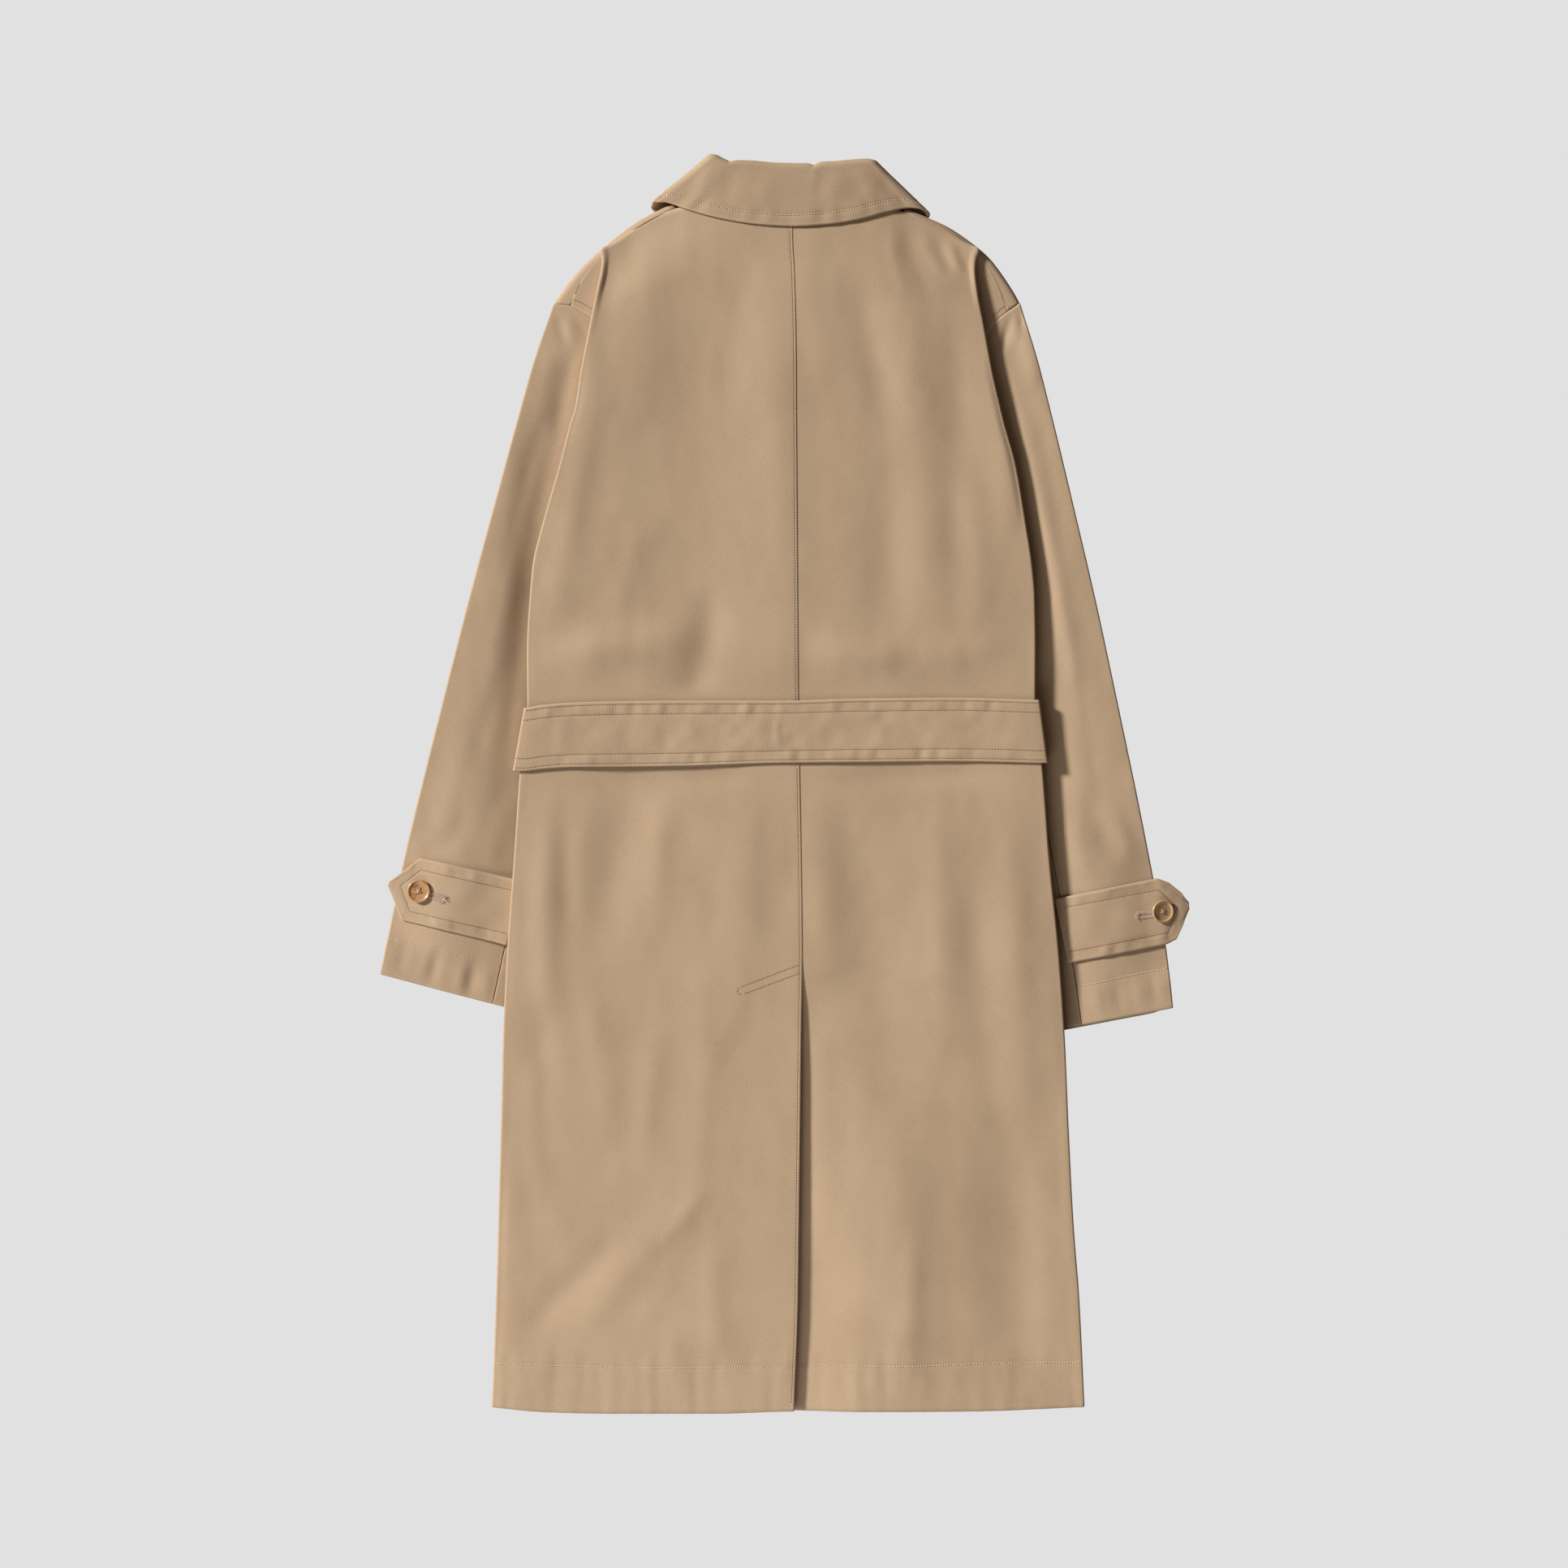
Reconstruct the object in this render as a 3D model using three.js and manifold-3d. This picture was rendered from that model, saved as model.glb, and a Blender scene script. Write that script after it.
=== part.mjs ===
// A belted cotton coat, laid flat with its back up.
// Millimetres. X runs to the right and Y up the coat as seen from above, Z up from the surface it lies on.
// Left and right are as seen from above, which are the wearer's own sides too.
import * as THREE from 'three';
import { mergeVertices } from 'three/addons/utils/BufferGeometryUtils.js';
import Module from 'manifold-3d';

// Cloth and its seams
const CLOTH = 1.6;
const HALF = CLOTH / 2;
const SEAM_GAP = 0.3;
const COLLAR_CLOTH = 2.4;
const STRAP_CLOTH = 2.0;
const BELT_CLOTH = 2.0;
const FLOOR = HALF;

// Sections of the body from the shoulder down. left and right: where the cloth folds under at each side.
// seam: the seam down the middle. turned: the width folded under, to the side seam or the armhole.
// under, edge and middle: heights of the cloth folded under, of the back at the fold and halfway across.
const BODY = [
  { y: 497, left: -158.4, right: 169.4, seam: 7.0, turned: 3, under: 9.4, edge: 12.4, middle: 14.0 },
  { y: 462, left: -158.4, right: 169.2, seam: 7.8, turned: 3, under: 9.4, edge: 12.4, middle: 16.0 },
  { y: 452, left: -157.0, right: 166.0, seam: 8.5, turned: 5, under: 9.7, edge: 14.0, middle: 16.4 },
  { y: 443, left: -157.9, right: 165.3, seam: 9.0, turned: 7, under: 10.0, edge: 15.2, middle: 16.7 },
  { y: 424, left: -161.8, right: 167.0, seam: 9.6, turned: 12, under: 10.6, edge: 17.2, middle: 17.0 },
  { y: 397, left: -167.0, right: 171.8, seam: 10.3, turned: 18, under: 11.6, edge: 19.0, middle: 17.0 },
  { y: 353, left: -175.4, right: 179.8, seam: 10.7, turned: 30, under: 12.3, edge: 20.3, middle: 17.0 },
  { y: 324, left: -179.8, right: 186.4, seam: 10.8, turned: 38, under: 12.3, edge: 20.3, middle: 17.0 },
  { y: 310, left: -184.1, right: 189.8, seam: 10.9, turned: 42, under: 12.3, edge: 20.3, middle: 17.0 },
  { y: 276, left: -192.9, right: 199.2, seam: 11.1, turned: 51, under: 12.3, edge: 20.3, middle: 17.0 },
  { y: 219, left: -209.0, right: 209.0, seam: 11.5, turned: 62, under: 12.3, edge: 20.3, middle: 17.2 },
  { y: 190, left: -216.0, right: 213.4, seam: 11.7, turned: 62, under: 12.3, edge: 20.3, middle: 17.4 },
  { y: 160, left: -218.8, right: 216.0, seam: 11.9, turned: 54, under: 12.3, edge: 20.3, middle: 17.8 },
  { y: 115, left: -221.2, right: 216.7, seam: 12.2, turned: 54, under: 12.3, edge: 20.3, middle: 18.6 },
  { y: 66, left: -220.9, right: 216.4, seam: 12.6, turned: 54, under: 12.3, edge: 20.3, middle: 16.0 },
  { y: 11, left: -227.2, right: 222.8, seam: 13.6, turned: 54, under: 12.3, edge: 20.3, middle: 16.0 },
  { y: -63, left: -232.3, right: 228.4, seam: 14.9, turned: 54, under: 12.3, edge: 20.3, middle: 17.4 },
  { y: -146, left: -238.4, right: 236.6, seam: 15.8, turned: 54, under: 12.3, edge: 20.3, middle: 16.8 },
  { y: -215, left: -241.6, right: 241.4, seam: 14.7, turned: 54, under: 12.3, edge: 20.3, middle: 16.2 },
  { y: -303, left: -244.0, right: 245.4, seam: 13.7, turned: 54, under: 5.5, edge: 16.8, middle: 15.2 },
  { y: -380, left: -246.3, right: 249.6, seam: 12.8, turned: 54, under: 0.8, edge: 14.0, middle: 14.2 },
  { y: -443, left: -248.2, right: 254.5, seam: 12.0, turned: 54, under: 0.8, edge: 13.4, middle: 13.6 },
  { y: -542, left: -252.2, right: 259.3, seam: 8.4, turned: 54, under: 0.8, edge: 12.8, middle: 13.0 },
];

// The hem's lower edge, across the coat
const HEM = [
  { x: -252, y: -536.6 },
  { x: -205, y: -541.0 },
  { x: -150, y: -542.2 },
  { x: -60, y: -542.2 },
  { x: 8, y: -540.3 },
  { x: 66, y: -540.8 },
  { x: 165, y: -540.2 },
  { x: 260, y: -536.4 },
];

// The top edge of each back panel, from the middle of the neck along the shoulder seam to the fold
const BACK_TOP = {
  left: [
    { x: 8, y: 497.0, z: 14.0 },
    { x: -30, y: 497.5, z: 14.0 },
    { x: -60, y: 498.5, z: 13.4 },
    { x: -82, y: 498.0, z: 12.2 },
    { x: -97, y: 493.4, z: 10.6 },
    { x: -113, y: 487.0, z: 9.8 },
    { x: -130, y: 477.0, z: 9.2 },
    { x: -146, y: 465.6, z: 10.8 },
    { x: -157, y: 460.4, z: 12.4 },
  ],
  right: [
    { x: 6, y: 497.0, z: 14.0 },
    { x: 42, y: 497.5, z: 14.0 },
    { x: 70, y: 498.0, z: 13.4 },
    { x: 92, y: 496.6, z: 12.2 },
    { x: 106, y: 490.0, z: 10.6 },
    { x: 124, y: 483.0, z: 9.8 },
    { x: 141, y: 475.2, z: 9.2 },
    { x: 157, y: 465.0, z: 10.8 },
    { x: 168, y: 460.4, z: 12.4 },
  ],
};

// How far the right panel lies below the left one at the seam down the middle and in the vent under it
const LAP = [
  { y: 500, drop: 0.0 },
  { y: 440, drop: 0.5 },
  { y: -60, drop: 0.6 },
  { y: -150, drop: 2.5 },
  { y: -178, drop: 3.0 },
  { y: -260, drop: 6.0 },
  { y: -400, drop: 7.6 },
  { y: -542, drop: 7.0 },
];
const VENT_TOP = -157;
const VENT_FULL = -178;
const VENT_UNDERLAP = 52;
const VENT_RECOVERY = 60;

// Where the sleeve's underarm lies
const UNDERARM_Y = 160;

// Soft folds of the back. Each runs from one place to another, rising (or sinking) by its height,
// with a width to each side. They fade towards their two ends.
const FOLDS = [
  { fromX: -72, fromY: 430, toX: -76, toY: 110, width: 58, height: -3.2 },
  { fromX: -6, fromY: 440, toX: -2, toY: 100, width: 22, height: 1.6 },
  { fromX: 60, fromY: 452, toX: 96, toY: 290, width: 16, height: -1.8 },
  { fromX: 92, fromY: 300, toX: 88, toY: 110, width: 20, height: -1.6 },
  { fromX: 104, fromY: 440, toX: 128, toY: 130, width: 24, height: 2.0 },
  { fromX: 150, fromY: 400, toX: 150, toY: 160, width: 16, height: -1.4 },
  { fromX: -130, fromY: 5, toX: -160, toY: -150, width: 20, height: -2.4 },
  { fromX: 64, fromY: 0, toX: 96, toY: -330, width: 28, height: -2.8 },
  { fromX: -176, fromY: -470, toX: -68, toY: -350, width: 20, height: 2.6 },
  { fromX: -236, fromY: -480, toX: -140, toY: -392, width: 14, height: -1.8 },
  { fromX: 120, fromY: -300, toX: 130, toY: -520, width: 30, height: -2.4 },
];

// Outer edge of each shoulder and sleeve, from the neck to the cuff, as seen from above
const SHOULDER = {
  left: [
    { x: -97, y: 501.0, inset: 4.4 },
    { x: -113.8, y: 493.2, inset: 4.4 },
    { x: -131.3, y: 483.4, inset: 4.4 },
    { x: -147.4, y: 470.8, inset: 4.6 },
    { x: -158.6, y: 461.8, inset: 5.4 },
    { x: -172.0, y: 449.6, inset: 7.0 },
    { x: -182.4, y: 438.6, inset: 9.0 },
    { x: -191.8, y: 426.2, inset: 12.0 },
    { x: -199.2, y: 414.1, inset: 15.0 },
  ],
  right: [
    { x: 106, y: 497.4, inset: 4.4 },
    { x: 124.4, y: 488.8, inset: 4.4 },
    { x: 141.8, y: 482.0, inset: 4.4 },
    { x: 159.3, y: 470.1, inset: 4.6 },
    { x: 169.1, y: 462.6, inset: 5.4 },
    { x: 179.6, y: 453.4, inset: 7.0 },
    { x: 191.5, y: 436.5, inset: 9.0 },
    { x: 199.6, y: 424.0, inset: 12.0 },
    { x: 204.1, y: 414.6, inset: 15.0 },
  ],
};

// The armhole seam, by its share of the way across the sleeve from the outer edge (0) to the underarm (1)
const ARMHOLE = {
  left: [
    { share: 0.0, backX: -199.2, backY: 414.1, frontX: -199.2, frontY: 414.1 },
    { share: 0.1, backX: -184.3, backY: 412.6, frontX: -185.0, frontY: 409.0 },
    { share: 0.17, backX: -175.0, backY: 407.5, frontX: -175.0, frontY: 403.0 },
    { share: 0.25, backX: -165.0, backY: 401.5, frontX: -162.0, frontY: 393.0 },
    { share: 0.34, backX: -153.0, backY: 388.0, frontX: -150.0, frontY: 376.0 },
    { share: 0.45, backX: -144.0, backY: 355.0, frontX: -140.0, frontY: 350.0 },
    { share: 0.6, backX: -139.5, backY: 298.0, frontX: -133.0, frontY: 300.0 },
    { share: 0.75, backX: -142.0, backY: 243.0, frontX: -137.0, frontY: 245.0 },
    { share: 0.9, backX: -153.0, backY: 190.0, frontX: -150.0, frontY: 190.0 },
    { share: 1.0, backX: -164.8, backY: 160.0, frontX: -164.8, frontY: 160.0 },
  ],
  right: [
    { share: 0.0, backX: 204.1, backY: 414.6, frontX: 204.1, frontY: 414.6 },
    { share: 0.1, backX: 193.0, backY: 407.6, frontX: 190.5, frontY: 407.0 },
    { share: 0.17, backX: 183.2, backY: 399.4, frontX: 181.0, frontY: 401.0 },
    { share: 0.25, backX: 177.0, backY: 389.8, frontX: 168.0, frontY: 391.0 },
    { share: 0.34, backX: 160.0, backY: 376.0, frontX: 156.0, frontY: 376.0 },
    { share: 0.45, backX: 150.0, backY: 350.0, frontX: 146.0, frontY: 350.0 },
    { share: 0.6, backX: 147.5, backY: 298.0, frontX: 140.0, frontY: 300.0 },
    { share: 0.75, backX: 147.0, backY: 243.0, frontX: 142.0, frontY: 245.0 },
    { share: 0.9, backX: 152.0, backY: 190.0, frontX: 150.0, frontY: 190.0 },
    { share: 1.0, backX: 162.0, backY: 160.0, frontX: 162.0, frontY: 160.0 },
  ],
};

// Each sleeve at its cuff. seam: share of the way across at which the back seam lies.
// bow: how far the outer edge swings out of the straight line from shoulder to cuff.
const CUFF_WIDTH = 150;
const SLEEVE = {
  left: {
    cuffX: -348.3,
    cuffY: -163.5,
    acrossX: 0.966,
    acrossY: -0.259,
    seam: 0.667,
    bow: [
      { along: 0, out: 0 },
      { along: 0.1, out: 4.2 },
      { along: 0.25, out: 5.5 },
      { along: 0.45, out: 6.7 },
      { along: 0.65, out: 6.3 },
      { along: 0.8, out: 5.6 },
      { along: 1, out: 0 },
    ],
  },
  right: {
    cuffX: 334.0,
    cuffY: -192.9,
    acrossX: -0.982,
    acrossY: -0.187,
    seam: 0.527,
    bow: [
      { along: 0, out: 0 },
      { along: 0.1, out: 4.0 },
      { along: 0.25, out: 6.6 },
      { along: 0.45, out: 8.8 },
      { along: 0.65, out: 7.6 },
      { along: 0.8, out: 5.2 },
      { along: 1, out: 0 },
    ],
  },
};

// Height of a sleeve along its length: edge at the outer fold and under the body, crown above that where
// it shows, and the share of its width that shows
const SLEEVE_HEIGHT = [
  { along: 0, edge: 6.8, crown: 0.2, shown: 0.34 },
  { along: 0.08, edge: 7.0, crown: 2.4, shown: 0.3 },
  { along: 0.25, edge: 7.2, crown: 3.8, shown: 0.3 },
  { along: 0.45, edge: 7.2, crown: 4.2, shown: 0.34 },
  { along: 0.7, edge: 7.2, crown: 3.8, shown: 0.5 },
  { along: 1, edge: 7.2, crown: 3.4, shown: 0.66 },
];
// Near the armhole a sleeve's seam lifts over the front: at the underarm, which is also pinched, and above it
const UNDERARM_LIFT = 3.4;
const UNDERARM_PINCH = 3.0;
const UNDERARM_SHARE = 0.72;
const UNDERARM_REACH = 0.12;
const ARMHOLE_LIFT = 1.9;
const ARMHOLE_SHARE = { from: 0.25, to: 0.4 };
const ARMHOLE_REACH = 0.08;
const OUTER_FOLD_SHARE = 0.05;

// Places round a sleeve: share across it from the outer fold, level from the lower wall (0) to the upper (1)
const ROUND_FRONT = [
  { share: 0.1, level: 1 },
  { share: 0.05, level: 1 },
  { share: 0.022, level: 0.98 },
  { share: 0.006, level: 0.82 },
  { share: 0, level: 0.5 },
  { share: 0.006, level: 0.18 },
  { share: 0.022, level: 0.02 },
  { share: 0.06, level: 0 },
  { share: 0.15, level: 0 },
  { share: 0.3, level: 0 },
  { share: 0.45, level: 0 },
  { share: 0.6, level: 0 },
  { share: 0.75, level: 0 },
  { share: 0.9, level: 0 },
  { share: 1, level: 0 },
];
const WRAP_ROWS = 8;

const SIDES = ['left', 'right'];

// Reads a column of a table between its rows, on a smooth curve that never overshoots them
function read(table, key, column, place) {
  const order = Math.sign(table[table.length - 1][key] - table[0][key]);
  const last = table.length - 1;
  if ((place - table[0][key]) * order <= 0) {
    return table[0][column];
  }
  if ((place - table[last][key]) * order >= 0) {
    return table[last][column];
  }
  const step = (i) => table[i + 1][key] - table[i][key];
  const slope = (i) => (table[i + 1][column] - table[i][column]) / step(i);
  const tangent = (i) => {
    if (i === 0 || i === last) {
      return slope(Math.min(i, last - 1));
    }
    const before = slope(i - 1);
    const after = slope(i);
    return before * after <= 0 ? 0 : (2 * before * after) / (before + after);
  };
  let row = 0;
  while ((place - table[row + 1][key]) * order > 0) {
    row += 1;
  }
  const width = step(row);
  const t = (place - table[row][key]) / width;
  const start = (1 + 2 * t) * (1 - t) ** 2 * table[row][column] + t * (1 - t) ** 2 * width * tangent(row);
  const end = t * t * (3 - 2 * t) * table[row + 1][column] + t * t * (t - 1) * width * tangent(row + 1);
  return start + end;
}

// Goes from 0 at the first place to 1 at the second, with soft ends
function ease(from, to, place) {
  const t = THREE.MathUtils.clamp((place - from) / (to - from), 0, 1);
  return t * t * (3 - 2 * t);
}

const mix = THREE.MathUtils.lerp;
const point = (x, y, z) => new THREE.Vector3(x, y, z);
const outward = (side) => (side === 'left' ? -1 : 1);

// A cloth wall round rows of points on its middle surface, closed at its free edges
function wall(rows, thickness) {
  const down = rows.length;
  const across = rows[0].length;
  const positions = [];
  for (const face of [1, -1]) {
    for (let i = 0; i < down; i += 1) {
      for (let j = 0; j < across; j += 1) {
        const along = rows[Math.min(i + 1, down - 1)][j].clone().sub(rows[Math.max(i - 1, 0)][j]);
        const sideways = rows[i][Math.min(j + 1, across - 1)].clone().sub(rows[i][Math.max(j - 1, 0)]);
        const normal = sideways.cross(along).normalize();
        const place = rows[i][j].clone().addScaledVector(normal, (face * thickness) / 2);
        positions.push(place.x, place.y, place.z);
      }
    }
  }
  const index = [];
  const quad = (a, b, c, d) => index.push(a, b, c, a, c, d);
  const outer = (i, j) => i * across + j;
  const inner = (i, j) => down * across + i * across + j;
  for (let i = 0; i < down - 1; i += 1) {
    for (let j = 0; j < across - 1; j += 1) {
      quad(outer(i, j), outer(i + 1, j), outer(i + 1, j + 1), outer(i, j + 1));
      quad(inner(i, j), inner(i, j + 1), inner(i + 1, j + 1), inner(i + 1, j));
    }
    quad(outer(i, 0), inner(i, 0), inner(i + 1, 0), outer(i + 1, 0));
    quad(outer(i, across - 1), outer(i + 1, across - 1), inner(i + 1, across - 1), inner(i, across - 1));
  }
  for (let j = 0; j < across - 1; j += 1) {
    quad(outer(0, j), outer(0, j + 1), inner(0, j + 1), inner(0, j));
    quad(outer(down - 1, j), inner(down - 1, j), inner(down - 1, j + 1), outer(down - 1, j + 1));
  }
  const geometry = new THREE.BufferGeometry();
  geometry.setAttribute('position', new THREE.Float32BufferAttribute(positions, 3));
  geometry.setIndex(index);
  return facingOut(geometry);
}

// Turns a closed geometry's faces outwards
function facingOut(geometry) {
  const places = geometry.attributes.position;
  const index = geometry.index.array;
  const corner = (k) => new THREE.Vector3().fromBufferAttribute(places, index[k]);
  let volume = 0;
  for (let k = 0; k < index.length; k += 3) {
    volume += corner(k).dot(corner(k + 1).cross(corner(k + 2)));
  }
  if (volume < 0) {
    for (let k = 0; k < index.length; k += 3) {
      [index[k], index[k + 1]] = [index[k + 1], index[k]];
    }
  }
  return geometry;
}

// Joins and cuts
const WELD = 1e-4;
const wasm = await Module();
wasm.setup();

function solid(geometry) {
  const bare = geometry.clone();
  bare.deleteAttribute('normal');
  bare.deleteAttribute('uv');
  const merged = facingOut(mergeVertices(bare, WELD));
  const vertProperties = new Float32Array(merged.attributes.position.array);
  const triVerts = new Uint32Array(merged.index.array);
  return new wasm.Manifold(new wasm.Mesh({ numProp: 3, vertProperties, triVerts }));
}

function geometryOf(manifold) {
  const mesh = manifold.getMesh();
  const geometry = new THREE.BufferGeometry();
  geometry.setAttribute('position', new THREE.Float32BufferAttribute(mesh.vertProperties, 3));
  geometry.setIndex(new THREE.Uint32BufferAttribute(mesh.triVerts, 1));
  return geometry;
}

// The body's sides
const bodyAt = (column, y) => read(BODY, 'y', column, y);
const hemAt = (x) => read(HEM, 'x', 'y', x);

// Height that the soft folds add at a place
function foldsAt(x, y) {
  let height = 0;
  for (const fold of FOLDS) {
    const runX = fold.toX - fold.fromX;
    const runY = fold.toY - fold.fromY;
    const length = Math.hypot(runX, runY);
    const along = ((x - fold.fromX) * runX + (y - fold.fromY) * runY) / length;
    const aside = ((x - fold.fromX) * runY - (y - fold.fromY) * runX) / length;
    const rise = ease(-fold.width, length * 0.3, along);
    const fade = rise * (1 - ease(length * 0.7, length + fold.width, along));
    height += fold.height * fade * Math.exp(-((aside / fold.width) ** 2));
  }
  return height;
}

// Height of the back's middle surface
const SHOULDER_RISE = 60;
const SIDE_START = 0.5;
const FOLDS_END = 0.8;
const TOP_ROWS = 7;

function backHeight(x, y) {
  const side = x < bodyAt('seam', y) ? 'left' : 'right';
  const seam = bodyAt('seam', y);
  const reach = Math.min(Math.abs((x - seam) / (bodyAt(side, y) - seam)), 1);
  const edge = mix(bodyAt('middle', y), bodyAt('edge', y), ease(SIDE_START, 1, reach));
  const body = edge + foldsAt(x, y) * (1 - ease(FOLDS_END, 1, reach));
  const below = read(BACK_TOP[side], 'x', 'y', x) - y;
  return mix(read(BACK_TOP[side], 'x', 'z', x), body, ease(0, SHOULDER_RISE, below));
}

// The right panel dips under the left one at the seam and in the vent
function rightDrop(x, y) {
  const past = x - bodyAt('seam', y);
  return read(LAP, 'y', 'drop', y) * (1 - ease(0, VENT_RECOVERY, past));
}

// Rows of the back panels: height at the fold and at the seam down the middle
const BACK_ROWS = [
  { fold: 460.6, seam: 497 },
  { fold: 452, seam: 487 },
  { fold: 441, seam: 473 },
  { fold: 425, seam: 453 },
  { fold: 405, seam: 428 },
  { fold: 380, seam: 398 },
  { fold: 353, seam: 363 },
  { fold: 324, seam: 328 },
  { fold: 298, seam: 298 },
  { fold: 262, seam: 262 },
  { fold: 225, seam: 225 },
  { fold: 190, seam: 190 },
  { fold: 160, seam: 160 },
  { fold: 128, seam: 128 },
  { fold: 98, seam: 98 },
  { fold: 71, seam: 71 },
  { fold: 44, seam: 44 },
  { fold: 17, seam: 17 },
  { fold: -12, seam: -12 },
  { fold: -50, seam: -50 },
  { fold: -100, seam: -100 },
  { fold: VENT_TOP, seam: VENT_TOP },
  { fold: VENT_FULL, seam: VENT_FULL },
  { fold: -215, seam: -215 },
  { fold: -265, seam: -265 },
  { fold: -325, seam: -325 },
  { fold: -390, seam: -390 },
  { fold: -450, seam: -450 },
  { fold: -500, seam: -500 },
  { fold: -537, seam: -540.4 },
];
const BACK_ACROSS = [0, 0.12, 0.24, 0.36, 0.48, 0.6, 0.72, 0.84, 0.94, 1];
const FOLD_TURN = [Math.PI * 0.25, Math.PI * 0.5, Math.PI * 0.75, Math.PI];
const TURNED_ACROSS = [0.5, 1];

// A back panel: across the back, round the fold at its side and in under itself
function backPanel(side) {
  const out = outward(side);
  const rows = BACK_ROWS.map((row, i) => {
    const isHem = i === BACK_ROWS.length - 1;
    const radius = (bodyAt('edge', row.fold) - bodyAt('under', row.fold)) / 2;
    const turnX = bodyAt(side, row.fold) - out * (HALF + radius);
    const topPull = 1 - ease(0, TOP_ROWS, i);
    const underlap = side === 'right' ? VENT_UNDERLAP * ease(-VENT_TOP, -VENT_FULL, -row.seam) : 0;
    const seamX = bodyAt('seam', row.seam) + (out * SEAM_GAP) / 2 - underlap;
    const points = BACK_ACROSS.map((share) => {
      const x = mix(seamX, turnX, share);
      const level = mix(row.seam, row.fold, share);
      const topLevel = mix(BACK_ROWS[0].seam, BACK_ROWS[0].fold, share);
      const pulled = level + topPull * (read(BACK_TOP[side], 'x', 'y', x) - topLevel);
      const y = isHem ? hemAt(x) : pulled;
      const drop = side === 'right' ? rightDrop(x, y) : 0;
      return point(x, y, share === 1 ? bodyAt('edge', row.fold) : backHeight(x, y) - drop);
    });
    const foldY = isHem ? hemAt(turnX) : row.fold;
    for (const angle of FOLD_TURN) {
      const rise = radius * (1 + Math.cos(angle));
      points.push(point(turnX + out * radius * Math.sin(angle), foldY, bodyAt('under', row.fold) + rise));
    }
    for (const share of TURNED_ACROSS) {
      const turned = bodyAt('turned', row.fold) - radius - HALF;
      const inX = turnX - out * Math.max(turned, 1) * share;
      points.push(point(inX, isHem ? hemAt(inX) : row.fold, bodyAt('under', row.fold)));
    }
    return points;
  });
  return wall(rows, CLOTH);
}

// The shoulder point of each back panel, which shows past the fold as far as the armhole seam.
// Each row goes from the shoulder seam, at its share of the way down the shoulder, in under the fold.
const CAP = {
  left: [
    { shoulder: 0.5, innerX: -151.5, innerY: 450.0, innerZ: 9.8 },
    { shoulder: 0.625, innerX: -152.0, innerY: 440.0, innerZ: 10.1 },
    { shoulder: 0.75, innerX: -152.0, innerY: 427.0, innerZ: 10.5 },
    { shoulder: 0.875, innerX: -153.0, innerY: 410.0, innerZ: 11.1 },
  ],
  right: [
    { shoulder: 0.5, innerX: 160.5, innerY: 450.0, innerZ: 9.8 },
    { shoulder: 0.625, innerX: 159.0, innerY: 440.0, innerZ: 10.1 },
    { shoulder: 0.75, innerX: 158.0, innerY: 424.0, innerZ: 10.6 },
    { shoulder: 0.875, innerX: 158.0, innerY: 404.0, innerZ: 11.3 },
  ],
};
const CAP_ACROSS = [0, 0.34, 0.67, 1];
const CAP_SHARES = [0.1, 0.17, 0.25, 0.34];
const CAP_LEVEL = 7.6;
const CAP_END_LEVEL = 11.7;
const CAP_RISE_START = 0.6;

// A place inside a shoulder's edge
function shoulderPoint(side, share, distance) {
  const shoulder = SHOULDER[side];
  const row = share * (shoulder.length - 1);
  const low = Math.min(Math.floor(row), shoulder.length - 2);
  const between = (column) => mix(shoulder[low][column], shoulder[low + 1][column], row - low);
  const before = shoulder[Math.max(Math.ceil(row) - 1, 0)];
  const after = shoulder[Math.min(Math.floor(row) + 1, shoulder.length - 1)];
  const inward = new THREE.Vector2(after.y - before.y, before.x - after.x).normalize();
  inward.multiplyScalar(outward(side) * distance);
  return { x: between('x') + inward.x, y: between('y') + inward.y, inset: between('inset') };
}

function shoulderCap(side) {
  const rows = CAP[side].map((row) => {
    const inset = shoulderPoint(side, row.shoulder, 0).inset;
    const outer = shoulderPoint(side, row.shoulder, inset + HALF + SEAM_GAP);
    return CAP_ACROSS.map((share) => {
      const z = mix(CAP_LEVEL, row.innerZ, ease(CAP_RISE_START, 1, share));
      return point(mix(outer.x, row.innerX, share), mix(outer.y, row.innerY, share), z);
    });
  });
  rows.push(
    CAP_SHARES.map((share, k) => {
      const inward = k === 0 ? outward(side) * SEAM_GAP : 0;
      const x = read(ARMHOLE[side], 'share', 'backX', share) - inward;
      const y = read(ARMHOLE[side], 'share', 'backY', share) + SEAM_GAP;
      return point(x, y, mix(CAP_LEVEL, CAP_END_LEVEL, ease(CAP_RISE_START, 1, CAP_ACROSS[k])));
    }),
  );
  return wall(rows, CLOTH);
}

// Sleeves: a place round the sleeve and along it, from the armhole seam (0) to the cuff (1)
function sleevePoint(side, share, level, isFront, along) {
  const sleeve = SLEEVE[side];
  const seamX = read(ARMHOLE[side], 'share', isFront ? 'frontX' : 'backX', share);
  const seamY = read(ARMHOLE[side], 'share', isFront ? 'frontY' : 'backY', share);
  const cuffX = sleeve.cuffX + sleeve.acrossX * CUFF_WIDTH * share;
  const cuffY = sleeve.cuffY + sleeve.acrossY * CUFF_WIDTH * share;
  const wallInset = HALF * (1 - Math.min(share / OUTER_FOLD_SHARE, 1));
  const bow = read(sleeve.bow, 'along', 'out', along) * (1 - share) - wallInset;
  const x = mix(seamX, cuffX, along) - sleeve.acrossX * bow;
  const y = mix(seamY, cuffY, along) - sleeve.acrossY * bow;
  return point(x, y, sleeveHeight(share, level, along));
}

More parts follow.
